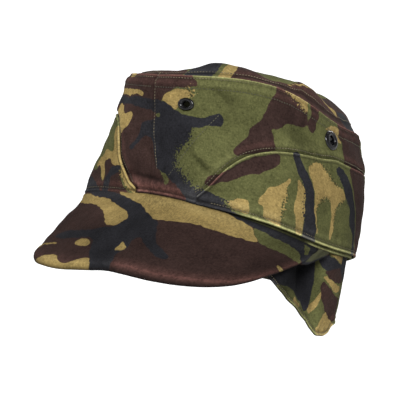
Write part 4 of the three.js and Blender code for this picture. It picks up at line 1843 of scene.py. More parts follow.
        # The charted tones multiply the colour: uneven tone, plus painted shade in creases and under pieces
        # and painted highlights on folds.
        colour = g.mix(1.0, colour, self.grey(g, value * (g.attribute("tone") + 1.0)), "MULTIPLY")
        # Painted shade: the shade attribute darkens the print towards near black in sewn grooves, creases,
        # joints and under overlapping pieces.
        shade = g.attribute("shade")
        colour = g.mix((shade * 0.7).held(), colour, linear(*self.painted_shade))
        colour = g.mix(g.attribute("inside"), colour, linear(*self.inside))
        g.feed(g.shader.inputs["Base Color"], colour)
        g.feed(g.shader.inputs["Roughness"], (0.94 - worn * 0.12 - patch * 0.08).held())
        g.shader.inputs["Specular IOR Level"].default_value = 0.03
        across, over, _ = g.parts(place)
        rib = (across + over * 0.9) * (2 * np.pi / self.twill)
        height = rib.math("SINE", rib) * 0.25 + thread * 0.8 + weft * 0.8 + patch * 0.9
        g.bump(height, self.relief, 0.9)
        return g.material

    @staticmethod
    def grey(graph: Graph, value: Value) -> bpy.types.NodeSocket:
        """Turn a number into a grey colour."""
        return graph.add("ShaderNodeCombineXYZ", {}, {0: value, 1: value, 2: value}).outputs[0]


@dataclass(frozen=True)
class BlackMetal:
    """Black lacquered brass, rubbed and slightly uneven."""

    lacquer: Colour = (5, 5, 6)
    rubbed: Colour = (62, 60, 62)

    def make(self) -> bpy.types.Material:
        """Build the material: lacquer with rubbed specks, and an uneven gloss.

        Returns:
            The metal's material.
        """
        g = Graph("black_metal")
        place = g.add("ShaderNodeTexCoord", {}, {}).outputs["Object"]
        slow = g.noise(place, 0.0035, 3.0)
        fine = g.noise(place, 0.0007, 2.0)
        rub = g.step(slow * 0.6 + fine * 0.5, 0.58, 0.72)
        g.feed(g.shader.inputs["Base Color"], g.mix(rub * 0.2, linear(*self.lacquer), linear(*self.rubbed)))
        g.feed(g.shader.inputs["Roughness"], 0.1 + fine * 0.12 + rub * 0.15)
        g.shader.inputs["Specular IOR Level"].default_value = 0.18
        g.bump(slow * 0.7 + fine * 0.3, 0.0001, 0.6)
        return g.material


@dataclass(frozen=True)
class Thread:
    """Sewing thread, twisted and dull: its material's name, its colour, and that of its dark patches."""

    name: str = "khaki_thread"
    light: Colour = (96, 88, 66)
    dark: Colour = (52, 48, 38)

    def make(self) -> bpy.types.Material:
        """Build the material: a colour that darkens in patches, with a fine twist.

        Returns:
            The thread's material.
        """
        g = Graph(self.name)
        place = g.add("ShaderNodeTexCoord", {}, {}).outputs["Object"]
        patch = g.noise(place, 0.009, 2.0)
        twist = g.noise(place, 0.0003, 1.0)
        colour = g.mix(g.step(patch, 0.35, 0.7), linear(*self.light), linear(*self.dark))
        g.feed(g.shader.inputs["Base Color"], colour)
        g.feed(g.shader.inputs["Roughness"], 0.8 + twist * 0.15)
        g.bump(twist, 0.0001, 0.8)
        return g.material


@dataclass(frozen=True)
class StudioFloor:
    """A seamless matt white floor."""

    white: float = 0.9
    glow: float = 0.7

    def make(self) -> bpy.types.Material:
        """Build the material: nearly white, with a faint glow of its own and a very fine tooth.

        Returns:
            The floor's material.
        """
        g = Graph("studio_floor")
        place = g.add("ShaderNodeTexCoord", {}, {}).outputs["Object"]
        tooth = g.noise(place, 0.01, 2.0)
        pale, less_pale = ((level, level, level, 1.0) for level in (self.white, self.white - 0.01))
        g.feed(g.shader.inputs["Base Color"], g.mix(tooth, pale, less_pale))
        g.feed(g.shader.inputs["Roughness"], 0.9 + tooth * 0.05)
        g.shader.inputs["Emission Color"].default_value = (1.0, 1.0, 1.0, 1.0)
        g.shader.inputs["Emission Strength"].default_value = self.glow
        return g.material


@dataclass(frozen=True)
class SoftLight:
    """A square soft light that faces the cap: its name, place and size in metres, and power in watts."""

    name: str
    place: tuple[float, float, float]
    size: float
    power: float

    def hang(self) -> None:
        """Put the light in the scene, turned towards the origin."""
        data = bpy.data.lights.new(self.name, "AREA")
        data.size = self.size
        data.energy = self.power
        made = bpy.data.objects.new(self.name, data)
        made.location = self.place
        made.rotation_euler = (-Vector(self.place)).to_track_quat("-Z", "Y").to_euler()
        bpy.context.scene.collection.objects.link(made)


@dataclass
class Studio:
    """The camera at the photograph's angle, a seamless floor and soft lights.

    The camera's focal length and the place of its axis in the picture are in pixels of the square photograph.
    """

    azimuth: float = 39.019
    elevation: float = -2.334
    roll: float = 11.582
    distance: float = 700.0
    aim: tuple[float, float, float] = (0.0, -6.75, 10.8)
    focal_pixels: float = 977.2
    picture: float = 400.0
    centre: tuple[float, float] = (228.08, 214.80)
    sensor: float = 36.0
    floor_z: float = -420.0
    floor_flat: float = 2400.0
    floor_turn: float = 2600.0
    floor_sides: int = 96
    sky: float = 0.5
    soft_lights: tuple[SoftLight, ...] = (
        SoftLight("key", (1.15, -1.35, 0.75), 0.6, 62.0),
        SoftLight("side", (-1.3, -1.0, 0.9), 0.8, 10.0),
        SoftLight("rear", (-0.6, 1.5, 1.5), 0.9, 22.0),
    )

    def camera(self) -> None:
        """Set the camera so that the aim falls on its place in the picture, turned by the roll."""
        a, e, r = np.radians([self.azimuth, self.elevation, self.roll])
        right = np.array([np.cos(a), np.sin(a), 0])
        toward = np.array([np.sin(a) * np.cos(e), -np.cos(a) * np.cos(e), np.sin(e)])
        up = np.cross(toward, right)
        across = right * np.cos(r) + up * np.sin(r)
        over = up * np.cos(r) - right * np.sin(r)
        middle = self.picture / 2
        look = -toward + across * (middle - self.centre[0]) / self.focal_pixels
        look = look - over * (middle - self.centre[1]) / self.focal_pixels
        back = Vector(-look).normalized()
        side = Vector(over).cross(back).normalized()
        top = back.cross(side)
        place = Vector((toward * self.distance + self.aim) * MM)
        data = bpy.data.cameras.new("camera")
        data.sensor_width = self.sensor
        data.lens = self.sensor * self.focal_pixels / self.picture
        data.clip_start, data.clip_end = 0.01, 60.0
        made = bpy.data.objects.new("camera", data)
        turn = Matrix((side, top, back)).transposed().to_4x4()
        made.matrix_world = Matrix.Translation(place) @ turn
        bpy.context.scene.collection.objects.link(made)
        bpy.context.scene.camera = made

    def floor(self) -> None:
        """Make a round floor whose rim curves up: flat to a radius, then a quarter ellipse."""
        bend = np.linspace(0, np.pi / 2, 17)
        radius = np.concatenate([np.linspace(1.0, self.floor_flat, 5)[:-1],
                                 self.floor_flat + self.floor_turn * np.sin(bend)])
        height = np.concatenate([np.zeros(4), self.floor_turn * (1 - np.cos(bend))]) + self.floor_z
        turn = np.linspace(0, 2 * np.pi, self.floor_sides, endpoint=False)[:, None]
        flat = radius + 0 * turn
        points = np.stack([flat * np.cos(turn), flat * np.sin(turn), height + 0 * turn], -1)
        numbers = np.arange(points[..., 0].size).reshape(points.shape[:2])
        faces = grid_faces(np.concatenate([numbers, numbers[:1]]))
        mesh = bpy.data.meshes.new("studio_floor")
        mesh.from_pydata((points.reshape(-1, 3) * MM).tolist(), [], faces[:, ::-1].tolist())
        mesh.shade_smooth()
        mesh.materials.append(StudioFloor().make())
        made = bpy.data.objects.new("studio_floor", mesh)
        made.visible_diffuse = False
        bpy.context.scene.collection.objects.link(made)

    def lights(self) -> None:
        """Set an even pale sky and the soft lights, and show colours as they are."""
        world = bpy.data.worlds.new("studio")
        world.use_nodes = True
        sky = world.node_tree.nodes["Background"]
        sky.inputs["Color"].default_value = (1.0, 1.0, 1.0, 1.0)
        sky.inputs["Strength"].default_value = self.sky
        bpy.context.scene.world = world
        bpy.context.scene.view_settings.view_transform = "Standard"
        for light in self.soft_lights:
            light.hang()

    def build(self) -> None:
        """Set up the camera first, then the floor and the lights."""
        self.camera()
        self.floor()
        self.lights()


# The print, read off the cloth: outlines as length along, height up and, where given, brush width

def strokes(ink: Ink, *chains: Rows, brush: float = 0.35) -> tuple[Stroke, ...]:
    """Print several chains with one ink. Their rows are along, up and half width."""
    return tuple(Stroke(ink, nodes, brush) for nodes in chains)


def patches(ink: Ink, *outlines: Rows, brush: float = 0.3) -> tuple[Patch, ...]:
    """Print several outlines with one ink."""
    return tuple(Patch(ink, outline, brush) for outline in outlines)


WALL_PRINT = Chart(
    patches(
        Ink.BROWN,
        ((-75, 90), (25.5, 90), (25, 81), (25.5, 78), (28.5, 75.5), (30.3, 73.5), (29, 71.2), (24, 70.2),
         (19, 69.8), (14, 67.2), (10, 63.5), (7, 60), (5, 57), (5, 20), (8, 15.5), (11, 15), (15, 13),
         (22, 12.5), (31, 9), (39, -2), (-75, -2)),
        ((82.5, 92), (80.5, 84), (78.5, 78.5), (76.2, 73), (75, 68), (73.8, 64), (70, 59.5), (67.2, 55.5),
         (66.8, 50.5), (64.5, 46.5), (61.5, 43), (60.3, 40), (59.5, 38), (62, 36), (66, 37.5), (70, 40),
         (78, 44), (84, 47.5), (87, 48.5), (84.3, 52), (83.3, 55.5), (82, 58.5), (81.8, 60.5), (86, 62.3),
         (90, 65), (92.5, 68.5), (97, 70), (103, 70.3), (108.5, 72), (112, 73.8), (112.6, 77), (112, 81),
         (111, 85), (110, 92)),
        ((46.5, 14), (47.5, 19.5), (52, 21), (58, 24), (56, 16), (50, 13)),
        ((114, 92), (115.5, 84), (114.5, 80), (112.8, 76.5), (113.3, 73.5), (116, 71.3), (118.2, 70.8),
         (120.5, 74), (121.5, 78), (123.5, 82), (126, 92)),
        ((151, 92), (152.5, 82), (151, 79), (150.5, 77), (153, 75.5), (156, 75), (153, 71), (153.5, 66),
         (155, 62), (158, 60), (170, 56), (198, 54), (204, 64), (200, 76), (206, 92)),
        ((214, 60), (222, 66), (230, 64), (236, 56), (246, 50), (250, 40), (244, 34), (236, 38), (228, 46),
         (218, 48), (212, 52)),
        ((262, 92), (258, 80), (264, 74), (274, 76), (282, 80), (290, 92)),
    )
    + patches(
        Ink.BLACK,
        ((-61, 66), (-48, 66.5), (-40, 64.8), (-30, 62), (-22, 62), (-14, 62), (-8, 60.5), (0, 59.5),
         (6, 60), (11, 59), (15, 56.8), (19.5, 54.5), (25, 53.2), (33, 53), (38, 54.2), (42, 56.8),
         (45, 58.7), (48, 59), (50, 56), (50.5, 52.5), (48.5, 50.6), (44, 50.5), (40, 49.6), (37, 47.2),
         (34, 46.8), (31.3, 47, 0.6), (30.5, 44.5, 1.0), (31.5, 41, 1.3), (30, 37, 1.5), (27, 33.5, 1.7),
         (23.5, 31, 2.0), (22, 28, 2.2), (23, 24.5, 2.2), (21.5, 21, 2.0), (26, 19.5, 2.2),
         (30.5, 16.5, 2.0), (35, 13.5, 1.8), (40, 11, 1.2), (50, 9.5, 0.8), (57, 8, 1.2), (62, 5, 1.2),
         (66, 2, 0.6), (66, -2), (37, -2), (33.5, 3), (29, 7), (23, 10), (17.5, 11), (16.5, 13), (13, 15),
         (9, 16), (5.5, 17), (3, 21), (1.5, 28), (1, 34), (-2, 37), (-6, 36.8), (-11, 34), (-15, 31),
         (-17.5, 28), (-20.5, 27.5), (-21.5, 30), (-18.5, 31.5), (-14, 35), (-11, 39), (-9.5, 43.5),
         (-6, 46.5), (1, 47), (3.5, 49), (3, 52), (-2, 53), (-10, 54.5), (-22, 57), (-33, 58.3), (-40, 59.5),
         (-60, 61.5)),
        ((99, 47), (99.5, 52), (103, 54), (107, 51), (105, 48)),
        ((206, 30), (214, 34), (224, 30), (232, 22), (240, 18), (252, 22), (262, 30), (270, 42), (276, 40),
         (270, 26), (260, 14), (246, 8), (234, 10), (224, 18), (214, 22)),
    )
    + patches(
        Ink.SAND,
        ((-54, 70), (-48, 70.5), (-36, 69), (-25, 67.3), (-16, 65.8), (-10, 65.6), (-8, 63.8), (-9, 61.9),
         (-11.5, 61.7), (-14.5, 63.5), (-20, 63.6), (-25, 62.8), (-30, 64), (-40, 66), (-53, 68)),
        ((-50, 56), (-42, 60), (-38, 59), (-33.5, 56), (-31, 53), (-27.5, 50.8), (-23.5, 51.5), (-19.5, 52.3),
         (-18, 50), (-20, 46), (-23.5, 42.3), (-29, 39.5), (-34, 37.5), (-40, 36), (-50, 33), (-56, 40)),
        ((7.2, 60.3), (9.5, 63.3), (13, 66.3), (18, 68.3), (22.5, 69.2, 0.8), (26, 69.5, 1.6), (28, 67, 1.8),
         (27, 64, 1.2), (23, 61), (20, 57.5), (18.5, 55), (14, 57.3), (10, 59.3)),
        ((131, 78), (135, 80.5), (140, 82.5), (146, 83.5), (152, 84.5), (152, 81), (150.5, 78), (151, 75.5),
         (154, 75.5), (152, 73.5), (148, 73), (145, 74.5), (142, 77.5), (137, 79)),
        ((252, 56), (258, 66), (268, 70), (278, 68), (284, 60), (276, 56), (268, 58), (260, 54)),
        ((226, 92), (228, 82), (236, 78), (242, 82), (240, 92)),
        ((85, 92), (87, 88.8, 0.8), (92, 88, 1.2), (97, 86.6, 1.3), (102, 85, 1.3), (107, 83.3, 1.2),
         (110.5, 82.2, 0.8), (112, 84), (111, 92)),
    )
    + patches(
        Ink.SPRIG,
        ((10, 15.5), (13.5, 15), (15.8, 12.5), (17, 9.3), (14.5, 8), (12, 10), (10.5, 13)),
        brush=0.7,
    )
    + strokes(Ink.SPRIG, ((3, 50.2, 0.6), (6, 50.5, 1.3))),
    # Most rows lighten or darken the print in soft areas. The rows of small dark spots along lines paint
    # shade in creases. Those round (90 to 112, 61 to 74) paint the shadow under the fold below the rear
    # eyelet. The light spots at (-5, 24) and (-19, 44) paint highlights on folds.
    tones_and_painted_light=((-30, 48, 22, 0.4), (-30, 80, 16, 0.4), (-8, 30, 12, 0.16), (15, 63, 5, 0.3), (42, 38, 15, 0.12),
           (36, 24, 9, 0.1), (94, 58, 8, 0.1), (-5, 24, 6, 0.35), (-19, 44, 6, 0.22), (-2, 6.5, 14, 0.1),
           (66, 80, 12, 0.12), (112, 62, 9, -0.18), (90, 74, 12, -0.16), (103, 61, 7, -0.25),
           (52, 67, 7, -0.12), (14, 36, 12, -0.06), (-12, 18, 7, -0.14), (36, 27.7, 2.4, -0.3),
           (39, 26, 2.4, -0.32), (42.5, 24.5, 2.4, -0.3), (46.5, 23, 2.4, -0.2), (41, 31, 4, 0.12),
           (47, 28, 4, 0.1), (43, 72.5, 2.6, -0.2), (48, 71, 2.8, -0.28), (53, 70, 2.8, -0.26),
           (59, 70.5, 2.6, -0.18), (52, 76, 4, 0.12), (52, 57.5, 2.4, -0.18), (57, 58, 2.4, -0.2),
           (62, 58.5, 2.4, -0.15), (60, 49, 3, -0.15), (66, 54, 3, -0.15), (72, 60, 3, -0.12),
           (-25, 14.6, 2.4, -0.3), (-19, 12.6, 2.4, -0.35), (-13, 11, 2.4, -0.35), (-7, 10.2, 2.4, -0.35),
           (-1, 10, 2.4, -0.35), (5, 9.6, 2.4, -0.35), (11, 8.6, 2.4, -0.3)),
)
LEFT_BAND_PRINT = Chart(
    patches(
        Ink.BROWN,
        ((56, 22.6), (60, 26.6), (66, 33.4), (72, 38.1), (80, 42.4), (87, 46.2), (89.5, 45.5), (89.5, 42.5),
         (89, 39.5), (86, 36.5), (82, 33), (79, 30.5), (75, 28.5), (70, 26), (66, 23), (62, 19.5), (58, 18),
         (54, 16), (49, 12), (46, 14), (49, 20), (52, 22)),
        ((160, 62), (163, 50), (168, 42), (171, 34), (174, 24), (180, 12), (186, -2), (200, -2), (204, 20),
         (198, 44), (200, 62)),
    )
    + patches(
        Ink.TAN,
        ((62.5, 7, 0.9), (65, 9, 0.8), (69, 11), (73.5, 12.2), (75, 11), (75, 7), (76, 3.2), (70, 3.8),
         (65, 4.5, 0.8)),
        ((78.8, 13.2), (81, 16.5), (83, 22), (86, 24.5), (90, 26.5), (93, 29.5), (95.5, 32.5), (98, 34.2),
         (98, 31), (96.5, 28, 0.7), (96.5, 24, 1.2), (96, 20, 1.3), (95, 15, 1.3), (94.5, 10, 1.2),
         (95, 7, 0.8), (95, 3), (88, 3), (83.5, 5), (83.5, 8), (82.8, 11), (80, 11.8)),
        ((103.5, 36.5), (107.5, 33.5), (110.5, 30.5), (111, 26), (110.5, 21), (111.5, 15), (112, 10),
         (111.5, 3), (106, 3), (105.3, 8), (104.5, 12), (102.5, 15), (102.3, 20), (104, 25), (104, 31),
         (103, 34.5)),
        ((110.5, 44.5), (112.5, 48, 0.6), (116, 50.5, 0.8), (120, 52.2, 0.6), (123.5, 53), (126.5, 51, 1.3),
         (130.5, 48.8, 1.4), (136, 46, 1.5), (140, 44, 1.3), (146, 42.8, 0.9), (151.5, 42.6), (153.3, 40.5),
         (155.5, 37), (153, 35.3, 0.9), (149.5, 34, 1.0), (146, 31.5, 1.0), (143.5, 29, 1.2),
         (142.7, 24, 1.1), (142.5, 18, 0.8), (142.2, 12), (141.5, 7.5), (140.5, 7.5), (139.3, 12),
         (138.3, 18), (138, 25), (137, 29.5), (134.5, 32.3, 0.8), (130, 32.5, 1.2), (126, 30, 1.4),
         (123, 26.5, 1.2), (121.8, 22.5, 0.6), (123, 18.5, 0.4), (125, 14), (126.3, 8.5), (125, 8),
         (124, 13), (122, 17.2), (120, 20.5), (119.3, 26), (118.8, 33), (115.5, 38.5)),
        ((208, 8), (205, 15), (207, 23), (213, 28), (218, 24), (217, 14), (214, 6)),
        ((236, 14), (234, 26), (240, 36), (247, 44), (252, 40), (249, 28), (245, 18)),
        ((206, 44), (212, 40), (220, 42), (226, 50), (220, 58), (210, 56)),
    )
    + patches(
        Ink.BLACK,
        ((98, 53), (103.5, 53), (104.5, 49.5), (107, 46), (110, 43), (113.5, 39.5), (116.5, 36),
         (118.3, 31.5), (119, 25.5), (120, 20.5), (122, 16.8), (124, 12.5), (125, 8), (125.5, -2), (111, -2),
         (112.3, 8), (111.8, 12.5, 0.8), (110.6, 16.5, 1.2), (110, 20.5, 1.4), (110.8, 25, 1.5),
         (110.6, 29.5, 1.4), (107.8, 33.5, 1.0), (103.8, 38.5, 0.5), (101.3, 43), (99, 48.5)),
        ((141, 54), (144, 56.3), (149, 56.2), (155, 53.5), (160, 50), (165, 44), (168.5, 37), (170.5, 30),
         (173, 23), (178, 13), (183, -2), (176, -2), (174.3, 9), (171.5, 15.5), (167.5, 18.5), (163.5, 20.8),
         (162, 24.5), (162.7, 28.5), (162.3, 32.5), (159.5, 34.8, 1.0), (156.5, 36.3, 1.0), (154.5, 38.5),
         (152.7, 42.3), (149, 45.8, 0.8), (145, 49.5, 0.8), (142.3, 51.5)),
        ((30, 2), (40, 8), (46, 11), (50, 10.3), (56, 9.3), (61, 7.5, 1.2), (64, 4.5, 1.2), (68, 2.5, 0.8),
         (74, 1), (76, -3), (30, -3)),
        ((222, -2), (224, 14), (220, 26), (224, 38), (230, 50), (238, 56), (242, 50), (234, 38), (230, 26),
         (234, 12), (234, -2)),
        ((258, -2), (264, 20), (262, 34), (270, 46), (280, 48), (276, 34), (278, 18), (272, -2)),
    ),
    tones_and_painted_light=((70, 14, 10, 0.1), (150, 20, 10, 0.06), (134, 18, 8, -0.08), (172, 30, 14, -0.25),
           (110, 58, 10, -0.1)),
)
RIGHT_BAND_PRINT = Chart(
    patches(
        Ink.TAN,
        ((-60, 18), (-57, 21), (-52, 25), (-48, 28.3), (-44, 28), (-41, 25.5), (-37.5, 26.5), (-37, 31),
         (-39.5, 37), (-41, 43), (-37, 44), (-33, 40), (-30, 34), (-30, 28), (-28.5, 22), (-27, 17),
         (-29, 15.5), (-34, 16.5), (-38, 16), (-41, 19), (-47, 18.5), (-46, 13), (-45.5, 8.5), (-47.5, 6.5),
         (-49.5, 9), (-50.5, 14), (-52.5, 17), (-57, 15.5)),
    )
    + patches(
        Ink.BROWN,
        ((-75, 16), (-60, 14), (-56, 15.5), (-53, 17.5), (-51, 14.5), (-50, 9), (-47.5, 6), (-45, 8),
         (-45.5, 13), (-48.5, 19), (-44, 21.3), (-40, 21.5), (-38.5, 18.5), (-36.5, 17), (-30, 17),
         (-28, 14), (-28, 6), (-24, 2.5), (-18, 0), (-16, -3), (-75, -3)),
    )
    + patches(
        Ink.BLACK,
        ((-38, 16), (-31, 17), (-28.5, 16.5), (-28.5, 13), (-31, 11.5), (-35, 11), (-38, 8.5), (-40.5, 5),
         (-41, -2), (-47, -2), (-46.5, 4), (-44.5, 8), (-41, 12)),
    )
    + patches(
        Ink.SAND,
        ((-28.5, 17.8), (-25, 16.5), (-21.5, 12.5), (-19, 8.5), (-16, 4.5), (-11, 2.5), (-12, 0.5),
         (-18, 0.8), (-22.5, 3.5, 1.2), (-26, 7.5, 1.5), (-28.3, 12, 1.2)),
    )
)
PEAK_PRINT = Chart(
    patches(
        Ink.BLACK,
        ((-70, 0), (-57, 3.8), (-52, 5.3), (-46, 6), (-41, 7), (-34, 7), (-30, 9), (-24, 11.3),
         (-18.5, 13.8), (-11, 15.8), (-6, 18.3), (-2.5, 20.5), (-0.3, 24), (-1.2, 28), (-1.8, 31.5),
         (-4.5, 34), (-9, 35), (-12, 37), (-20, 39), (-28, 39.5), (-40, 39.5), (-50, 41.5), (-57, 43.5),
         (-57, 45.5), (-50, 47), (-40, 47.5), (-30, 47), (-22, 45.5), (-14, 46), (-10.5, 48.5), (-9.5, 52),
         (-6.5, 57), (-3, 61), (1, 63.5), (4, 68), (5.5, 76), (22.5, 76), (22, 68), (21, 63), (18.5, 58.5),
         (17.5, 54), (20, 50), (20.5, 46), (19.5, 42.5), (21.5, 38), (25, 38.5), (30, 42), (36, 45),
         (42, 48.3), (48, 50.8), (53.5, 51.3), (55.3, 49), (52.5, 46), (46.5, 43.2), (41, 41), (36.5, 37.5),
         (32.5, 32), (29, 26.5), (25, 21.5), (20.5, 20.5), (18, 19.5), (14.5, 16.8), (9, 14.8), (4, 11.5),
         (0, 9.3), (-6, 8), (-14, 6), (-24, 3.8), (-36, 2), (-50, 0)),
        ((60, -2), (66, 1.8), (74, 3.2), (80, 4.2), (88, 5), (95, 5.6), (105, 6), (115, 6.5), (124, 8.5),
         (130, 12.5), (135, 16.5), (139, 18), (150, 18), (152, -2)),
    )
    + patches(
        Ink.SAND,
        ((-30, -2), (-25, 3.8), (-14, 6.2), (-6, 8.2), (0, 9.5), (4, 11.8), (9, 15), (14.5, 17), (18, 19.7),
         (20.5, 20.8), (30, 19.6), (38, 18.2), (46, 16.5), (54, 15.2), (62, 15), (75, 15.2), (93, 15.3),
         (88, 11), (84, 7.5), (80.5, 4.3), (74, 3.3), (66, 1.8), (60, -2)),
        ((-90, 2), (-68, 3), (-57, 4), (-52, 5.5), (-46, 6.2), (-41, 7.2), (-34, 7.2), (-30, 9.2),
         (-24, 11.5), (-18.5, 14), (-11, 16), (-6, 18.5), (-2.5, 20.7), (-0.5, 24), (-1.4, 28), (-2, 31.3),
         (-4.7, 33.5), (-8.5, 32.5), (-11, 34), (-14, 32.3), (-18, 28), (-23, 23.2), (-30, 18.5),
         (-38, 14.8), (-45, 12.8), (-52, 11.8), (-62, 11.5), (-80, 10)),
        ((117, 26), (120, 28.5), (124, 30.5), (129, 31.5), (128, 29), (123, 27)),
        ((-50, 66.5), (-46, 64.3), (-40, 63.6), (-36, 62.9), (-32, 64), (-28, 66.5), (-24, 69.3), (-20, 70.2),
         (-17, 69.6), (-13, 67.6), (-10, 66), (-7, 63.6), (-4, 62.2), (0, 63.2), (3, 66), (5, 69), (5.5, 78),
         (-60, 78), (-58, 70)),
        ((-26.8, 50.3), (-24, 53), (-18, 53.6), (-13, 52.5), (-11.5, 50.3), (-15, 48), (-20, 46.7),
         (-25, 48.5)),
        ((12, 51.3), (15, 52.7), (18.5, 51.3), (19.6, 48.7), (16.5, 45.5), (12, 43.9), (12.6, 47.5)),
    )
    + strokes(
        Ink.SAND,
        ((-98, 45, 1), (-88, 50, 1), (-78, 54.8, 1.7), (-66, 55, 1.6), (-61, 52.6, 0.9), (-46, 52.4, 0.7)),
    )
    + patches(
        Ink.SPRIG,
        ((80, 4.2), (84.5, 7.8), (89, 11.5), (94, 15.3), (104, 15), (112, 15), (120, 15.5), (130, 17.5),
         (137, 19.5), (133, 15), (128, 10.5), (122, 8), (112, 6.3), (100, 6), (90, 5)),
        ((120, 0.5), (124, 1), (128, 2.6), (132, 5), (135, 8), (133.5, 9), (130, 7.5), (126, 5), (122, 3)),
    ),
    base=Ink.BROWN,
    tones_and_painted_light=((-45, 9, 14, 0.2), (-22, 18, 13, 0.18), (-6, 26, 10, 0.14), (12, 10, 14, 0.05),
           (36, 10, 14, 0.05), (60, 8, 13, 0.06), (84, 9, 10, 0.02), (-40, 70, 10, 0.3), (-24, 72, 8, 0.3),
           (-4, 68, 9, 0.3), (-20, 50, 6, 0.2), (16, 49, 5, 0.2), (-48, 60, 10, 0.1), (-30, 25, 10, 0.1),
           (8, 58, 10, -0.28), (-14, 42, 12, -0.28), (10, 28, 12, -0.26), (36, 42, 9, -0.2),
           (60, 34, 18, -0.08), (-22, 12, 9, -0.1), (30, 12, 12, -0.06), (60, 10, 12, -0.06)),
    depth=0.2,
)
TOP_PRINT = Chart(
    patches(
        Ink.TAN,
        ((41, -94), (45, -87), (41, -76), (30, -64), (20, -54), (12, -42), (4, -44), (14, -58), (26, -70),
         (34, -80), (37, -92)),
        ((57, 8), (61, 14), (66, 26), (64, 36), (60, 30), (57, 18)),
        ((-56, 2), (-46, 8), (-48, 22), (-52, 38), (-50, 50), (-57, 46), (-64, 28), (-63, 12)),
        ((-20, 34), (-6, 46), (10, 50), (26, 44), (30, 52), (12, 60), (-6, 56), (-18, 46)),
    )
    + patches(
        Ink.BROWN,
        ((45, -92), (56, -78), (68, -58), (76, -30), (78, 0), (74, 30), (62, 54), (46, 62), (42, 44),
         (46, 20), (45, 0), (42, -20), (32, -36), (22, -46), (28, -60), (38, -74), (43, -84)),
        ((-54, -88), (-32, -108), (0, -112), (20, -106), (14, -92), (-4, -84), (-24, -80), (-44, -76)),
        ((-78, -14), (-64, -4), (-56, 12), (-44, 28), (-34, 48), (-40, 66), (-56, 56), (-72, 30)),
    )
    + patches(
        Ink.BLACK,
        ((18, -106), (36, -100), (34, -88), (28, -76), (14, -62), (0, -52), (-12, -36), (-18, -12), (-8, 8),
         (-2, 16), (-14, 18), (-26, 4), (-30, -18), (-26, -40), (-10, -58), (4, -72), (14, -84)),
        ((-34, 84), (-24, 70), (-8, 66), (4, 72), (16, 70), (20, 80), (4, 90), (-16, 92)),
        ((61, 10), (66, 14), (70, 24), (64, 40), (57, 34), (58, 20)),
        brush=0.6,
    )
    + patches(
        Ink.SPRIG,
        ((42, -66), (50, -62), (54.5, -57), (57.3, -49), (58.5, -40), (58, -33), (54, -34), (47, -44)),
    )
    + strokes(Ink.SAND, ((58.5, -46, 0.3), (60, -30, 0.6), (60.5, -12, 0.5), (62.5, 1, 0.8), (63.5, 8, 1.3))),
    tones_and_painted_light=((28, -72, 16, -0.15), (50, -60, 14, -0.05)),
)
FLAP_PRINT = Chart(
    patches(
        Ink.TAN,
        ((125.5, -33), (128, -35), (132, -36.5), (136, -38.5), (133, -40.5), (127.5, -39), (125, -36)),
        ((155.5, -26), (157, -29), (154.5, -33), (153, -38), (150, -41), (147, -42), (144, -39.8),
         (143, -37.3), (147, -36), (150, -34), (152, -30), (154, -27)),
        ((151, -15.5), (156, -15), (161, -17.3), (168, -18.5), (176, -19), (188, -22), (180, -25.5),
         (172, -24.5), (165, -22), (159, -19.5), (154, -18)),
        ((160, -43), (163, -40, 0.8), (168, -38.2, 0.8), (172, -39.5), (177, -43), (184, -48), (186, -54),
         (176, -60), (160, -60), (156, -53), (156.5, -49)),
        ((148, 3), (155, -1.5), (164, -4), (176, -5.5), (190, -6), (190, 3)),
    )
    + patches(
        Ink.BROWN,
        ((152, -19), (158, -20.5), (165, -23), (172, -25.5), (180, -27), (190, -30), (186, -46), (176, -44),
         (169, -40), (163, -37), (159, -33.5), (156, -29), (153.5, -24)),
        ((151, -12.5), (156, -11), (161, -9), (168, -8), (180, -7.5), (192, -11), (186, -18.5), (176, -18.5),
         (168, -18.2), (161, -17), (156, -15)),
    )
    + patches(
        Ink.BLACK,
        ((78, -22), (90, -26), (98, -30), (104, -31), (110, -30), (116, -29), (121, -29.5), (126, -32),
         (130, -34.5), (134, -36), (138, -38), (141, -40.5), (143.5, -41), (145.5, -38), (146, -34),
         (145, -26), (144, -18), (143.3, -12), (143.5, -8), (141, 2), (130, 4), (78, 4)),
        ((144, -2), (149, -1), (157, -2.5), (166, -5), (176, -6), (192, -6.5), (192, -8), (176, -8),
         (166, -8.5), (159, -10.5), (152, -12.5), (147, -9)),
    ),
    # The dark rows paint the deep shade on the flap's front part under the peak; the three light rows lighten
    # the print further back.
    tones_and_painted_light=((98, -24, 8, -0.4), (118, -18, 16, -0.7), (134, -20, 11, -0.6), (112, -34, 8, -0.3),
           (141, -32, 6, -0.3), (141, -6, 7, -0.4), (168, -28, 16, 0.55), (162, -50, 10, 0.2),
           (152, -8, 8, 0.3)),
)
LEFT_WALL_FOLDS = (
    Fold(((33, 30, -1.0), (40, 25.5, -1.7), (47, 21, -1.0)), 1.6),
    Fold(((36, 33, 0.7), (43, 28.5, 1.0), (50, 24, 0.6)), 2.6),
    Fold(((42, 73, -0.8), (46, 70, -1.2), (51, 66, -0.7)), 1.4),
    Fold(((92, 66, -0.8), (104, 62, -1.8), (116, 56, -0.8)), 3.6),
    Fold(((-4, 38, 0.6), (-3, 28, 1.1), (-5, 18, 0.7)), 3.4),
    Fold(((-9, 36, -0.6), (-9, 26, -0.9), (-11, 18, -0.5)), 2.2),
    Fold(((20, 11.5, -0.5), (2, 10.5, -0.9)), 1.5),
    Fold(((62, 60, 0.6), (70, 66, 0.9), (80, 70, 0.5)), 3.5),
    Fold(((98, 62, -0.5), (106, 68, -0.8), (112, 76, -0.5)), 2.2),
)
RIGHT_WALL_FOLDS = (
    Fold(((-2, 10.5, -0.9), (-20, 12, -0.6)), 1.5),
    Fold(((-60, 60, 0.6), (-72, 68, 0.9), (-84, 72, 0.5)), 3.5),
)
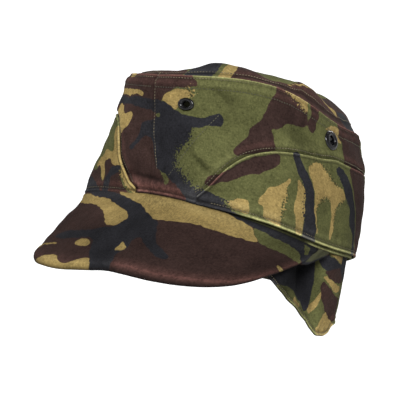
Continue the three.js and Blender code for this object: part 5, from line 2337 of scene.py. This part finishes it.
LEFT_BAND_FOLDS = (
    Fold(((92, 18, -0.5), (104, 24, -0.8), (118, 27, -0.5)), 2.6),
    Fold(((132, 12, 0.5), (140, 24, 0.8), (150, 34, 0.5)), 4.0),
)
PEAK_FOLDS = (
    Fold(((-30, 30, 0.7), (-5, 36, 0.9), (30, 34, 0.7)), 9.0),
    Fold(((60, 20, -0.7), (85, 22, -0.9), (110, 18, -0.5)), 6.0),
)
TOP_FOLDS = (
    Fold(((20, -70, -0.8), (36, -40, -1.0), (44, -10, -0.6)), 5.0),
    Fold(((26, -80, 5.0), (24, -76, 5.0)), 11.0),
    Fold(((42, -68, 2.0), (38, -58, 1.6)), 11.0),
    Fold(((53, -40, 2.4), (60, -30, 6.5), (60, -16, 6.0), (58, 4, 3.0)), 12.0),
    Fold(((44, 22, 2.6), (54, 34, 3.4)), 20.0),
)
FLAP_FOLDS = (
    Fold(((160, -4, 2.2), (158, -22, 0.4), (150, -44, -2.2)), 14.0),
    Fold(((128, -8, 0.8), (124, -26, 1.2), (128, -44, 0.8)), 5.0),
    Fold(((158, -10, -0.7), (154, -26, -1.0), (150, -40, -0.6)), 4.0),
)
LEFT_EDGE = BandEdge(
    ((25.5, 0.075), (29, 0.15), (34.6, 0.32), (41, 0.44), (48.8, 0.515), (60, 0.575), (74, 0.63), (90, 0.69),
     (110, 0.688), (130, 0.675), (180, 0.66)), 1)
RIGHT_EDGE = BandEdge(
    ((8.5, 0.045), (12.5, 0.105), (15.2, 0.19), (17.8, 0.27), (19.4, 0.38), (20.4, 0.48), (23.5, 0.59),
     (36, 0.655), (60, 0.66), (90, 0.69), (130, 0.675), (180, 0.66)), -1, foot_rise=0.01)
EYELET_PLACES = (
    EyeletPlace("eyelet_front_left", 14.9, 0.762, 0.86),
    EyeletPlace("eyelet_rear_left", 84.3, 0.822, 1.12),
    EyeletPlace("eyelet_front_right", -62, 0.79, 0.86),
    EyeletPlace("eyelet_rear_right", -108, 0.822, 1.12),
)
BARREL: Rows = ((2.8, -3.15), (5.0, -3.15), (5.4, -2.35), (3.7, -2.35), (3.7, 0.5), (6.5, 0.5))
RING_PROFILE: Rows = BARREL + ((6.3, 1.2), (5.4, 1.75), (4.2, 1.75), (3.2, 1.2), (2.8, 0.4))
DOME_PROFILE: Rows = BARREL + ((6.4, 1.0), (5.6, 1.9), (4.4, 2.2), (3.3, 1.7), (2.8, 0.4))
SMALL_EYELET_OVAL = 0.72
LARGE_EYELET_OVAL = 0.92
FRONT_SEAM_LINE = ((1.7, 78), (1.6, 50), (2, 42), (3.5, 25), (5.5, 16))
SLANTED_LINE = ((9.8, 0.181), (14, 0.29), (25.4, 0.636), (27.7, 0.701))
HIDDEN_WALL_COPIES = ((180.0, -3.0, False), (-175.0, 2.0, False), (-95.0, -5.0, False))
HIDDEN_FLAP_COPIES = ((95.0, 12.0, False), (200.0, 8.0, False), (300.0, 10.0, False))
HIDDEN_BAND_COPY = (-20.0, 0.0, True)


def main() -> None:
    """Build the studio and the cap, one sub-assembly after another."""
    Studio().build()
    crown = CrownForm()
    cloth = Camouflage().make()
    metal = BlackMetal().make()
    thread = Thread().make()
    dark_thread = Thread("dark_thread", (64, 62, 44), (40, 38, 30)).make()
    slots = ("crown_stitching", "band_stitching", "flap_stitching", "inner_stitching")
    rows = {slot: StitchRow() for slot in slots}

    right_wall_print = WALL_PRINT.with_copies(*HIDDEN_WALL_COPIES)
    walls = []
    for name, edge, chart, folds in (("side_left", LEFT_EDGE, WALL_PRINT, LEFT_WALL_FOLDS),
                                     ("side_right", RIGHT_EDGE, right_wall_print, RIGHT_WALL_FOLDS)):
        eyelets = tuple(place for place in EYELET_PLACES if np.sign(place.angle) == edge.side)
        wall = CrownWall(name, edge.side, crown, edge, chart, folds, eyelets)
        walls.append(wall.build(cloth))
        wall.stitch(rows["crown_stitching"], rows["inner_stitching"])
        if edge.side > 0:
            wall.lay_chart(rows["crown_stitching"], np.array(FRONT_SEAM_LINE))
            corners = np.arange(len(SLANTED_LINE))
            finely = np.linspace(0, corners[-1], 200)
            slanted = [np.interp(finely, corners, values) for values in np.array(SLANTED_LINE).T]
            wall.lay(rows["inner_stitching"], *slanted)

    mirrored = tuple(patch.moved(*HIDDEN_BAND_COPY) for patch in LEFT_BAND_PRINT.strokes)
    right_band_print = replace(RIGHT_BAND_PRINT, strokes=RIGHT_BAND_PRINT.strokes + mirrored)
    for name, edge, chart, folds in (("band_left", LEFT_EDGE, LEFT_BAND_PRINT, LEFT_BAND_FOLDS),
                                     ("band_right", RIGHT_EDGE, right_band_print, ())):
        band = TurnUpBand(name, edge.side, crown, edge, chart, folds)
        band.build(cloth)
        band.stitch(rows["band_stitching"])

    top = CrownTop(crown, TOP_PRINT, TOP_FOLDS)
    top.build(cloth)
    top.stitch(rows["crown_stitching"])
    Peak(crown, PEAK_PRINT, PEAK_FOLDS).build(cloth)
    flap = EarAndNeckFlap(crown, FLAP_PRINT.with_copies(*HIDDEN_FLAP_COPIES), FLAP_FOLDS)
    flap.build(cloth, walls)
    flap.stitch(rows["flap_stitching"])

    for place in EYELET_PLACES:
        small = (RING_PROFILE, SMALL_EYELET_OVAL)
        large = (DOME_PROFILE, LARGE_EYELET_OVAL)
        Eyelet(place, crown, *(small if place.share < 1 else large)).build(metal)
    for name, row in rows.items():
        finish = dark_thread if name == "inner_stitching" else thread
        dress(row.build(name, finish), "camouflage_cotton")


if __name__ == "__main__":
    logging.basicConfig(level=logging.INFO, format="%(message)s")
    main()
